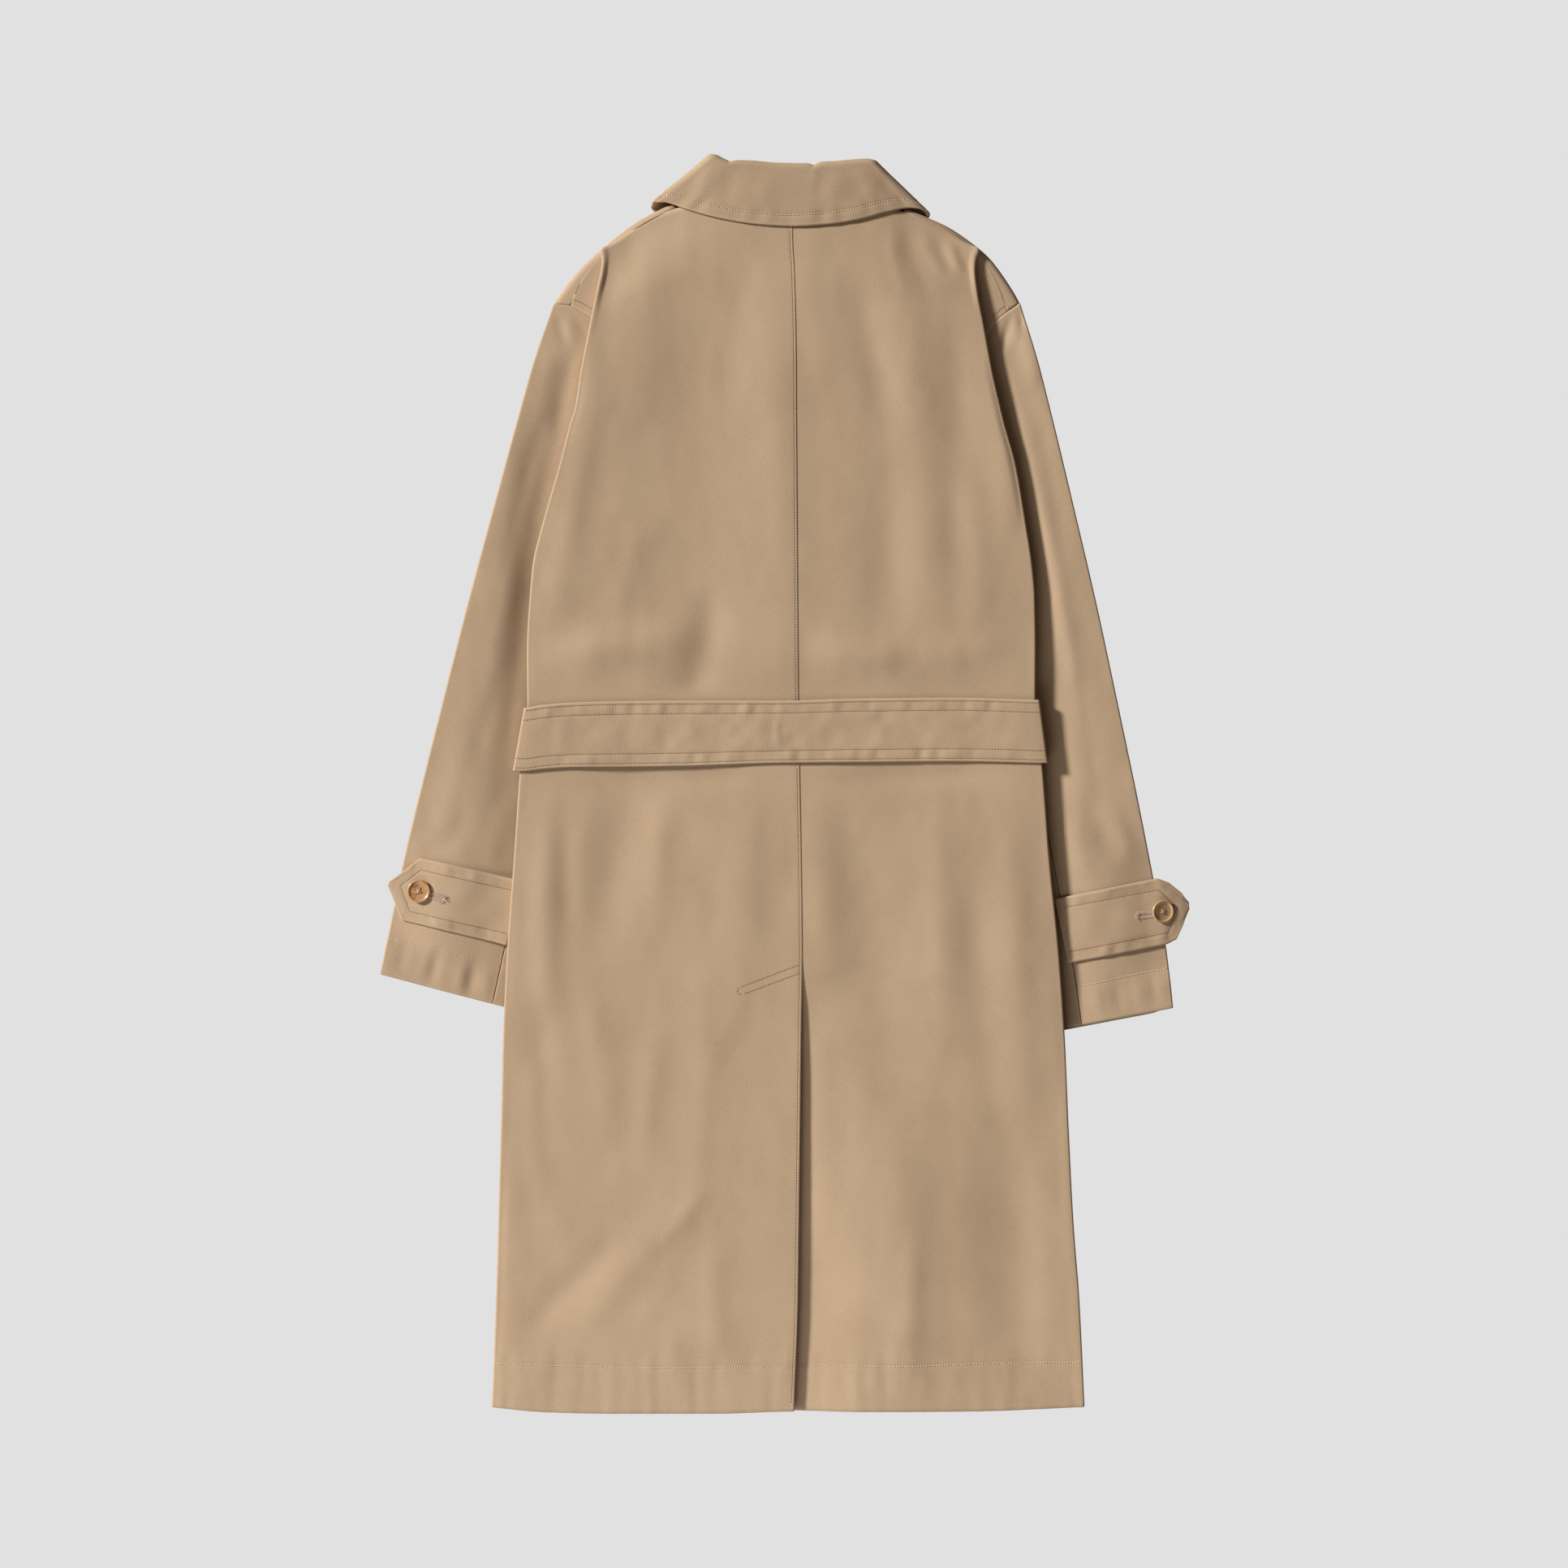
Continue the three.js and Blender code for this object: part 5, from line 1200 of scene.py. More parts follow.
def strap_points(side):
    """Points of a cuff strap, on top of its sleeve."""
    rows = np.array(STRAP[side], float)
    place = np.linspace(0, len(rows) - 1, 72)
    top_x, top_y, bottom_x, bottom_y, droop = (
        np.interp(place, np.arange(len(rows)), column)[:, None] for column in rows.T
    )
    share = np.linspace(0, 1, 34)[None, :]
    x, y = mix(top_x, bottom_x, share), mix(top_y, bottom_y, share)
    z = sleeve_top(side, x, y) + STRAP_REST - droop
    stitch = distance_to(STRAP_STITCH[side], x, y)
    edge = np.minimum(share, 1 - share) * 54
    puckers = 1.0 * unevenness(x, y * 0.3, 8, 51) * bump(edge - 5, 4)
    soft = 0.8 * unevenness(x, y, 19, 52) * np.sin(math.pi * share)
    low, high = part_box(f"button_{side}")
    button_x, button_y, _ = (np.array(low) + np.array(high)) / 2 / MM
    calm = ease(10, 17, np.hypot(x - button_x, y - button_y))
    detail = np.maximum(puckers + soft, -STRAP_SINK) * calm
    return points_of(x, y, z + detail - 0.28 * bump(stitch, 1.1))


# Sewing
STITCH_SHARE = 0.64
PALE_THREAD = 1.25


class Surface:
    """The top of a piece, on which sewing is laid."""

    def __init__(self, piece):
        self.tree = BVHTree.FromObject(piece, bpy.context.evaluated_depsgraph_get())

    def at(self, x, y):
        hit = self.tree.ray_cast(Vector((x * MM, y * MM, 0.06)), Vector((0, 0, -1)))
        if hit[0] is None:
            return None
        return np.array(hit[0]) / MM, np.array(hit[1])


def smooth_path(points, step=1.0):
    """Places at even steps on a smooth curve through points in plan."""
    points = np.array(points, float)
    keys = np.concatenate([[0], np.cumsum(np.linalg.norm(np.diff(points, axis=0), axis=1))])
    return through(keys, points, spread(0, keys[-1], step))


def straight_path(points, step=1.0):
    """Places at even steps on straight stretches between points in plan."""
    points = np.array(points, float)
    keys = np.concatenate([[0], np.cumsum(np.linalg.norm(np.diff(points, axis=0), axis=1))])
    places = spread(0, keys[-1], step)
    return np.stack([np.interp(places, keys, points[:, k]) for k in (0, 1)], axis=-1)


class Thread:
    """Stitches gathered into one mesh."""

    SIDES = 6

    def __init__(self, radius):
        self.radius = radius
        self.places, self.faces = [], []

    def strand(self, points, radii):
        """A closed strand through a few points, in millimetres."""
        points = np.array(points, float)
        run = np.gradient(points, axis=0)
        run /= np.linalg.norm(run, axis=1, keepdims=True)
        side = np.cross(run, [0.0, 0.0, 1.0])
        small = np.linalg.norm(side, axis=1) < 1e-3
        side[small] = [1.0, 0.0, 0.0]
        side /= np.linalg.norm(side, axis=1, keepdims=True)
        lift = np.cross(side, run)
        angle = np.arange(self.SIDES) * 2 * math.pi / self.SIDES
        first = len(self.places)
        for place, a, b, radius in zip(points, side, lift, radii):
            for turn in angle:
                self.places.append(place + radius * (a * math.cos(turn) + b * math.sin(turn)))
        for ring in range(len(points) - 1):
            for k in range(self.SIDES):
                low, high = first + ring * self.SIDES, first + (ring + 1) * self.SIDES
                after = (k + 1) % self.SIDES
                self.faces.append([low + k, low + after, high + after, high + k])
        self.faces.append([first + k for k in reversed(range(self.SIDES))])
        self.faces.append([first + (len(points) - 1) * self.SIDES + k for k in range(self.SIDES)])

    def stitch(self, surface, start, end, lift=0.16):
        """One stitch from place to place on a surface, its ends drawn into the cloth."""
        ends = [surface.at(*start), surface.at(*end)]
        if None in ends:
            return
        (a, up_a), (b, up_b) = ends
        if up_a[2] < 0.25 or up_b[2] < 0.25 or abs(a[2] - b[2]) > 3:
            return
        points = [a - up_a * 0.22, mix(a, b, 0.22) + up_a * lift, mix(a, b, 0.78) + up_b * lift, b - up_b * 0.22]
        r = self.radius
        self.strand(points, [r * 0.6, r, r, r * 0.6])

    def row(self, surface, path, pitch, skip=None):
        """A row of stitches along a path of closely set places."""
        lengths = np.linalg.norm(np.diff(path, axis=0), axis=1)
        keys = np.concatenate([[0], np.cumsum(lengths)])
        for start in np.arange(0, keys[-1] - pitch, pitch):
            ends = [[np.interp(start + run, keys, path[:, k]) for k in (0, 1)] for run in (0, pitch * STITCH_SHARE)]
            if skip is None or not skip(*ends[0]):
                self.stitch(surface, *ends)

    def piece(self, name, finish):
        piece = make_piece(name, np.array(self.places) * MM, self.faces, finish)
        return sewn(piece)


# Materials
def linear(code):
    """An sRGB hex colour as linear red, green, blue and alpha."""
    values = [int(code[k : k + 2], 16) / 255 for k in (0, 2, 4)]
    return [v / 12.92 if v <= 0.04045 else ((v + 0.055) / 1.055) ** 2.4 for v in values] + [1.0]


def add_node(tree, kind, inputs=None, **settings):
    """Adds a node with its settings, and its inputs as values or as other nodes' outputs."""
    node = tree.nodes.new(kind)
    for key, value in settings.items():
        setattr(node, key, value)
    for key, value in (inputs or {}).items():
        if isinstance(value, bpy.types.NodeSocket):
            tree.links.new(value, node.inputs[key])
        else:
            node.inputs[key].default_value = value
    return node


def new_material(name):
    """An empty material with a surface shader, its tree and that shader."""
    material = bpy.data.materials.new(name)
    material.use_nodes = True
    tree = material.node_tree
    return material, tree, tree.nodes["Principled BSDF"]


TWILL_PITCH = 2.2
TWILL_ANGLE = math.radians(63)


def cotton_gabardine(settings):
    """Cotton gabardine, a tight steep twill: matt, with a faint grain and paler edges, partly wear and partly a
    painted highlight on the rims.

    Its ribs are 0.4 mm apart, too fine to show at this size, so they are drawn 2.2 mm apart and very faint.
    """
    material, tree, shader = new_material("cotton gabardine")
    weave = add_node(tree, "ShaderNodeAttribute", attribute_name="weave").outputs["Vector"]
    turned = add_node(
        tree, "ShaderNodeVectorRotate", {"Vector": weave, "Angle": TWILL_ANGLE}, rotation_type="Z_AXIS"
    ).outputs["Vector"]
    ribs = add_node(
        tree,
        "ShaderNodeTexWave",
        {"Vector": turned, "Scale": 2 * math.pi / 20 / (TWILL_PITCH * MM), "Distortion": 1.2, "Detail": 1.0},
        wave_type="BANDS",
    ).outputs["Fac"]
    threads = add_node(tree, "ShaderNodeTexNoise", {"Vector": turned, "Scale": 520.0, "Detail": 3.0})
    mottling = add_node(tree, "ShaderNodeTexNoise", {"Vector": weave, "Scale": 13.0, "Detail": 4.0})
    cloud = add_node(
        tree,
        "ShaderNodeMapRange",
        {"Value": mottling.outputs["Fac"], "From Min": 0.3, "From Max": 0.7, "To Min": 0.0, "To Max": 1.0},
    ).outputs["Result"]
    ground = add_node(
        tree,
        "ShaderNodeMix",
        {"Factor": cloud, "A": linear(SHADES["cloth deep"]), "B": list(settings.cloth) + [1.0]},
        data_type="RGBA",
    ).outputs["Result"]
    grain = add_node(
        tree,
        "ShaderNodeMapRange",
        {"Value": threads.outputs["Fac"], "From Min": 0.25, "From Max": 0.75, "To Min": 0.0, "To Max": 0.5},
    ).outputs["Result"]
    speckled = add_node(
        tree, "ShaderNodeMix", {"Factor": grain, "A": ground, "B": linear(SHADES["cloth pale"])}, data_type="RGBA"
    ).outputs["Result"]
    # Within 2.2 mm of a piece's edge the colour goes paler: partly wear, partly a painted highlight on the rims.
    edge = add_node(tree, "ShaderNodeSeparateXYZ", {"Vector": weave}).outputs["Z"]
    wear_and_highlight = add_node(
        tree,
        "ShaderNodeMapRange",
        {"Value": edge, "From Min": 0.0, "From Max": 0.0022, "To Min": 0.5, "To Max": 0.0},
    ).outputs["Result"]
    colour = add_node(
        tree, "ShaderNodeMix", {"Factor": wear_and_highlight, "A": speckled, "B": linear(SHADES["cloth wear and highlight"])}, data_type="RGBA"
    ).outputs["Result"]
    tree.links.new(colour, shader.inputs["Base Color"])
    low = add_node(
        tree, "ShaderNodeBump", {"Height": ribs, "Strength": 0.25, "Distance": 0.00012}
    ).outputs["Normal"]
    high = add_node(
        tree,
        "ShaderNodeBump",
        {"Height": threads.outputs["Fac"], "Strength": 0.35, "Distance": 0.00018, "Normal": low},
    ).outputs["Normal"]
    tree.links.new(high, shader.inputs["Normal"])
    shader.inputs["Roughness"].default_value = 0.82
    shader.inputs["IOR"].default_value = 1.46
    shader.inputs["Specular IOR Level"].default_value = 0.35
    shader.inputs["Sheen Weight"].default_value = 0.12
    shader.inputs["Sheen Roughness"].default_value = 0.45
    return material


def sewing_thread(name, colour):
    """Spun polyester sewing thread: matt and twisted. The brown copy is darker than the cloth, painted shade of the
    sunken stitches; the pale copy is paler, a painted highlight on the raised ones.
    """
    material, tree, shader = new_material(name)
    twist = add_node(tree, "ShaderNodeTexCoord").outputs["Object"]
    plies = add_node(tree, "ShaderNodeTexNoise", {"Vector": twist, "Scale": 1800.0, "Detail": 2.0}).outputs["Fac"]
    darker = [value * 0.72 for value in colour[:3]] + [1.0]
    shade = add_node(
        tree, "ShaderNodeMix", {"Factor": plies, "A": darker, "B": list(colour[:3]) + [1.0]}, data_type="RGBA"
    ).outputs["Result"]
    tree.links.new(shade, shader.inputs["Base Color"])
    raised = add_node(tree, "ShaderNodeBump", {"Height": plies, "Strength": 0.4, "Distance": 0.0001})
    tree.links.new(raised.outputs["Normal"], shader.inputs["Normal"])
    shader.inputs["Roughness"].default_value = 0.7
    shader.inputs["IOR"].default_value = 1.53
    return material


def polished_horn(name, pale, dark, share, seed):
    """Buffalo horn, turned and polished: amber with darker clouds, smooth and a little see-through in depth."""
    material, tree, shader = new_material(name)
    place = add_node(tree, "ShaderNodeTexCoord").outputs["Object"]
    moved = add_node(
        tree, "ShaderNodeMapping", {"Vector": place, "Location": (seed, seed * 0.7, 0), "Scale": (1, 1.8, 1)}
    ).outputs["Vector"]
    cloud = add_node(
        tree, "ShaderNodeTexNoise", {"Vector": moved, "Scale": 110.0, "Detail": 4.0, "Distortion": 1.4}
    ).outputs["Fac"]
    spread_out = add_node(
        tree,
        "ShaderNodeMapRange",
        {"Value": cloud, "From Min": share - 0.08, "From Max": share + 0.1, "To Min": 1.0, "To Max": 0.0},
    ).outputs["Result"]
    body = add_node(
        tree, "ShaderNodeMix", {"Factor": spread_out, "A": linear(pale), "B": linear(dark)}, data_type="RGBA"
    ).outputs["Result"]
    tree.links.new(body, shader.inputs["Base Color"])
    shader.inputs["Roughness"].default_value = 0.28
    shader.inputs["IOR"].default_value = 1.55
    shader.inputs["Coat Weight"].default_value = 0.25
    shader.inputs["Coat Roughness"].default_value = 0.12
    return material


def matt_paper(name, code):
    """Matt white background paper, pale grey in this light."""
    material, tree, shader = new_material(name)
    place = add_node(tree, "ShaderNodeTexCoord").outputs["Object"]
    fibre = add_node(tree, "ShaderNodeTexNoise", {"Vector": place, "Scale": 900.0, "Detail": 2.0}).outputs["Fac"]
    raised = add_node(tree, "ShaderNodeBump", {"Height": fibre, "Strength": 0.05, "Distance": 0.0001})
    tree.links.new(raised.outputs["Normal"], shader.inputs["Normal"])
    shader.inputs["Base Color"].default_value = linear(code)
    shader.inputs["Roughness"].default_value = 0.95
    return material


def plain_background(code):
    """The photo studio's even grey background, which shows no shadow."""
    material = bpy.data.materials.new("plain background")
    material.use_nodes = True
    tree = material.node_tree
    glow = add_node(tree, "ShaderNodeEmission", {"Color": linear(code), "Strength": 1.0})
    tree.links.new(glow.outputs["Emission"], tree.nodes["Material Output"].inputs["Surface"])
    return material


SHADES = {
    "cloth": "b59a7c",
    "cloth deep": "a98e71",
    "cloth pale": "bda384",
    # Edge colour: partly wear, partly a painted highlight on the rims.
    "cloth wear and highlight": "c6ad8d",
    # Darker than the cloth: painted shade of the stitches sunk into it.
    "thread": "957859",
    # Paler than the cloth: a painted highlight on the raised stitches.
    "thread painted highlight": "e2cdab",
    "buttonhole": "d6b8a2",
    "horn amber": "b98b5f",
    "horn dark": "6e3f1c",
    "horn pale": "c5a074",
    "horn brown": "8a5c30",
}


def finish_named(name, make):
    """A material that is made once and then shared."""
    return bpy.data.materials.get(name) or make()


def cloth_finish(settings):
    return finish_named("cotton gabardine", lambda: cotton_gabardine(settings))


def thread_finish(settings):
    return finish_named("brown sewing thread with painted shade", lambda: sewing_thread("brown sewing thread with painted shade", settings.thread))


def highlit_thread_finish():
    shade = linear(SHADES["thread painted highlight"])
    return finish_named("sewing thread with painted highlight", lambda: sewing_thread("sewing thread with painted highlight", shade))


# Sizes and colours that a user would change
class CoatSettings(PropertyGroup):
    cloth: FloatVectorProperty(
        name="Cloth",
        description="Colour of the cotton gabardine",
        subtype="COLOR",
        size=3,
        min=0,
        max=1,
        default=linear(SHADES["cloth"])[:3],
    )
    # Its default is darker than the cloth: painted shade of the sunken stitches.
    thread: FloatVectorProperty(
        name="Thread",
        description="Colour of the sewing thread",
        subtype="COLOR",
        size=3,
        min=0,
        max=1,
        default=linear(SHADES["thread"])[:3],
    )
    stitch_pitch: FloatProperty(
        name="Stitch length",
        description="Distance from one stitch to the next",
        unit="LENGTH",
        min=0.002,
        max=0.006,
        default=0.0023,
    )
    thread_radius: FloatProperty(
        name="Thread radius",
        description="Half the thickness of the sewing thread",
        unit="LENGTH",
        min=0.0001,
        max=0.0006,
        default=0.00032,
    )


# Operators
class COAT_OT_back(Operator):
    """Makes the two back panels with their shoulder points"""

    bl_idname = "coat.back"
    bl_label = "Back"

    def execute(self, context):
        cloth = cloth_finish(context.scene.coat)
        for side in SIDES:
            points, start = back_panel(side)
            panel = shell(f"back_{side}_panel", points, CLOTH, cloth, start)
            point = shell(f"shoulder_{side}_point", shoulder_cap(side), CLOTH, cloth)
            sewn(panel, f"back_{side}")
            sewn(point)
        return {"FINISHED"}


FRONT_DETAIL = 2


def refined_copy(node, name, finish):
    """A finer copy of a solid: its triangles joined to quads, its sharp rims kept and the rest smoothed."""
    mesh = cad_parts[node].data.copy()
    mesh.name = name
    form = bmesh.new()
    form.from_mesh(mesh)
    bmesh.ops.remove_doubles(form, verts=form.verts, dist=1e-6)
    wide = math.pi
    bmesh.ops.join_triangles(
        form, faces=form.faces, angle_face_threshold=math.radians(35), angle_shape_threshold=wide
    )
    crease = form.edges.layers.float.get("crease_edge") or form.edges.layers.float.new("crease_edge")
    for edge in form.edges:
        if len(edge.link_faces) == 2 and edge.calc_face_angle() > math.radians(50):
            edge[crease] = 1.0
    weave = form.verts.layers.float_vector.new("weave")
    for vert in form.verts:
        vert[weave] = (vert.co.x, vert.co.y, 1.0)
    form.to_mesh(mesh)
    form.free()
    mesh.materials.clear()
    mesh.materials.append(finish)
    mesh.shade_smooth()
    piece = bpy.data.objects.new(name, mesh)
    bpy.context.scene.collection.objects.link(piece)
    finer = piece.modifiers.new("finer", "SUBSURF")
    finer.levels = finer.render_levels = FRONT_DETAIL
    return sewn(piece, node)


class COAT_OT_fronts(Operator):
    """Makes the two fronts, which lie under the back and roll over the shoulders"""

    bl_idname = "coat.fronts"
    bl_label = "Fronts"

    def execute(self, context):
        cloth = cloth_finish(context.scene.coat)
        for side in SIDES:
            panel = refined_copy(f"front_{side}", f"front_{side}_panel", cloth)
        return {"FINISHED"}


class COAT_OT_sleeves(Operator):
    """Makes the two sleeves"""

    bl_idname = "coat.sleeves"
    bl_label = "Sleeves"

    def execute(self, context):
        cloth = cloth_finish(context.scene.coat)
        for side in SIDES:
            tube = shell(f"sleeve_{side}_tube", sleeve_tube(side), CLOTH, cloth)
            sewn(tube, f"sleeve_{side}")
        return {"FINISHED"}


class COAT_OT_collar(Operator):
    """Makes the collar and the stand that holds it"""

    bl_idname = "coat.collar"
    bl_label = "Collar"

    def execute(self, context):
        cloth = cloth_finish(context.scene.coat)
        fall = shell("collar_fall", collar_points(), COLLAR_CLOTH, cloth)
        sewn(fall, "collar")
        stand = refined_copy("collar_stand", "collar_stand_band", cloth)
        return {"FINISHED"}


class COAT_OT_belt(Operator):
    """Makes the belt, in one loop round the waist"""

    bl_idname = "coat.belt"
    bl_label = "Belt"

    def execute(self, context):
        band = shell("belt_band", belt_points(), BELT_CLOTH, cloth_finish(context.scene.coat))
        sewn(band, "belt")
        return {"FINISHED"}


class COAT_OT_straps(Operator):
    """Makes the two cuff straps"""

    bl_idname = "coat.straps"
    bl_label = "Cuff straps"

    def execute(self, context):
        cloth = cloth_finish(context.scene.coat)
        for side in SIDES:
            band = shell(f"strap_{side}_band", strap_points(side), STRAP_CLOTH, cloth)
            sewn(band, f"cuff_strap_{side}")
        return {"FINISHED"}


BUTTON_RADIUS = 10.0
BUTTON_PROFILE = (
    (0, 0.2),
    (7.6, 0.2),
    (8.6, 0.4),
    (9.5, 0.9),
    (9.9, 1.5),
    (10, 2.0),
    (9.85, 2.5),
    (9.45, 2.9),
    (8.9, 3.0),
    (8.4, 2.85),
    (8.0, 2.4),
    (7.6, 2.1),
    (6.8, 1.95),
    (4.0, 1.8),
    (0, 1.75),
)
BUTTON = {"left": {"turn": 0.26, "tilt": 0.0}, "right": {"turn": -0.2, "tilt": 0.3}}
BUTTON_SEGMENTS = 72
HOLE_RADIUS = 0.85
HOLE_OFFSET = 1.95


def button_disc(side, finish):
    """A turned four-hole button with a raised rim, where its solid lies."""
    form = bmesh.new()
    turned = [form.verts.new((r * MM, 0, z * MM)) for r, z in BUTTON_PROFILE]
    edges = [form.edges.new(pair) for pair in zip(turned[:-1], turned[1:])]
    bmesh.ops.spin(
        form, geom=turned + edges, cent=(0, 0, 0), axis=(0, 0, 1), angle=2 * math.pi, steps=BUTTON_SEGMENTS
    )
    bmesh.ops.remove_doubles(form, verts=form.verts, dist=1e-6)
    bmesh.ops.recalc_face_normals(form, faces=form.faces)
    disc = mesh_object(f"button_{side}_disc", form, finish)
    form = bmesh.new()
    for side_x in (-1, 1):
        for side_y in (-1, 1):
            made = bmesh.ops.create_cone(
                form, cap_ends=True, segments=20, radius1=HOLE_RADIUS * MM, radius2=HOLE_RADIUS * MM, depth=0.01
            )
            bmesh.ops.translate(form, verts=made["verts"], vec=(side_x * HOLE_OFFSET * MM, side_y * HOLE_OFFSET * MM, 0))
    drill = mesh_object("drill", form, finish)
    cut = disc.modifiers.new("holes", "BOOLEAN")
    cut.object = drill
    cut.operation = "DIFFERENCE"
    cut.solver = "EXACT"
    evaluated = disc.evaluated_get(bpy.context.evaluated_depsgraph_get())
    drilled = bpy.data.meshes.new_from_object(evaluated)
    disc.modifiers.clear()
    disc.data = drilled
    bpy.data.objects.remove(drill)
    drilled.shade_smooth()
    drilled.set_sharp_from_angle(angle=math.radians(40))
    low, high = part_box(f"button_{side}")
    centre = (low + high) / 2
    setting = BUTTON[side]
    disc.rotation_euler = (0, setting["tilt"], setting["turn"])
    disc.location = centre
    bpy.context.view_layer.update()
    reach = [(disc.matrix_world @ vert.co) for vert in drilled.vertices]
    lowest = min(place.z for place in reach)
    highest = max(place.z for place in reach)
    disc.location.z += centre.z - (lowest + highest) / 2
    bpy.context.view_layer.update()
    disc.data.transform(disc.matrix_world)
    seat = disc.matrix_world.copy()
    disc.matrix_world.identity()
    sewn(disc, f"button_{side}", slot=HORN_SLOT)
    return seat


def mesh_object(name, form, finish):
    mesh = bpy.data.meshes.new(name)
    form.to_mesh(mesh)
    form.free()
    mesh.materials.append(finish)
    piece = bpy.data.objects.new(name, mesh)
    bpy.context.scene.collection.objects.link(piece)
    return piece


# Buttonholes: from the button out along the strap
BUTTONHOLE = {
    "left": {"from": (-312.0, -92.2), "to": (-294.0, -99.4)},
    "right": {"from": (322.5, -112.5), "to": (307.0, -113.2)},
}
BUTTONHOLE_BITE = 4.0
FRAY_LENGTH = {"short": 3.2, "long": 6.0}
BUTTONHOLE_PITCH = 0.75


class COAT_OT_buttons(Operator):
    """Makes the two buttons, the thread that holds them and their buttonholes"""

    bl_idname = "coat.buttons"
    bl_label = "Buttons"

    def execute(self, context):
        horn = {
            "left": polished_horn("polished horn, brown", SHADES["horn amber"], SHADES["horn dark"], 0.36, 0.31),
            "right": polished_horn("polished horn, amber", SHADES["horn pale"], SHADES["horn brown"], 0.3, 0.92),
        }
        twist = sewing_thread("buttonhole twist", linear(SHADES["buttonhole"]))
        for side in SIDES:
            seat = button_disc(side, horn[side])
            thread = Thread(0.3)
            for k in (-1, 1):
                ends = [seat @ Vector((x * HOLE_OFFSET * MM, k * x * HOLE_OFFSET * MM, 0.0019)) for x in (-1, 1)]
                a, b = (np.array(end) / MM for end in ends)
                for shift in (-0.22, 0.22):
                    moved = np.array([0, shift, 0])
                    lift = np.array([0, 0, 0.35])
                    path = [a + moved - lift * 2, mix(a, b, 0.15) + moved + lift]
                    path += [mix(a, b, 0.85) + moved + lift, b + moved - lift * 2]
                    thread.strand(path, [0.3] * 4)
            surface = Surface(bpy.data.objects[f"strap_{side}_band"])
            start, end = (np.array(BUTTONHOLE[side][key]) for key in ("from", "to"))
            run = (end - start) / np.linalg.norm(end - start)
            aside = np.array([-run[1], run[0]])
            for distance in np.arange(0, np.linalg.norm(end - start), BUTTONHOLE_PITCH):
                at = start + run * distance
                bite = mix(2.2, BUTTONHOLE_BITE, distance / np.linalg.norm(end - start))
                for k in (-1, 1):
                    thread.stitch(surface, at + aside * 0.25 * k, at + aside * bite * k, 0.34)
            for angle in np.linspace(-1.4, 1.4, 9):
                spoke = run * math.cos(angle) + aside * math.sin(angle)
                thread.stitch(surface, end + spoke * 0.4, end + spoke * (BUTTONHOLE_BITE + 0.4), 0.22)
            loose = np.random.default_rng(7)
            for _ in range(9):
                angle = loose.uniform(-1.5, 1.5)
                spoke = run * math.cos(angle) + aside * math.sin(angle)
                bend = aside * loose.uniform(-0.9, 0.9)
                reach = loose.uniform(FRAY_LENGTH["short"], FRAY_LENGTH["long"])
                spots = [end + spoke * reach * share + bend * share * share for share in (0, 0.35, 0.7, 1)]
                hits = [surface.at(*spot) for spot in spots]
                if None not in hits:
                    path = [hit[0] + hit[1] * (0.3 + 0.5 * k * loose.uniform(0.2, 1)) for k, hit in enumerate(hits)]
                    thread.strand(path, [0.22, 0.2, 0.16, 0.1])
            thread.piece(f"button_{side}_thread", twist)
        return {"FINISHED"}


# Paths of the sewing on the back, in plan
VENT_BAR = (
    ((12.0, -155.8), (-39.4, -175.2)),
    ((-39.4, -175.2), (-40.6, -178.2), (-38.8, -181.0), (-35.8, -181.0)),
    ((12.6, -162.9), (-35.8, -181.0)),
)
ARMHOLE_TOPSTITCH = {
    "left": ((-193.2, 423.4), (-184.8, 419.4), (-173.0, 414.2), (-164.0, 408.6)),
    "right": ((199.4, 422.0), (193.6, 415.6), (186.4, 409.6), (178.4, 401.6)),
}
SHOULDER_TOPSTITCH = {
    "left": ((-168.6, 444.6), (-174.4, 436.0), (-181.2, 421.4)),
    "right": (),
}


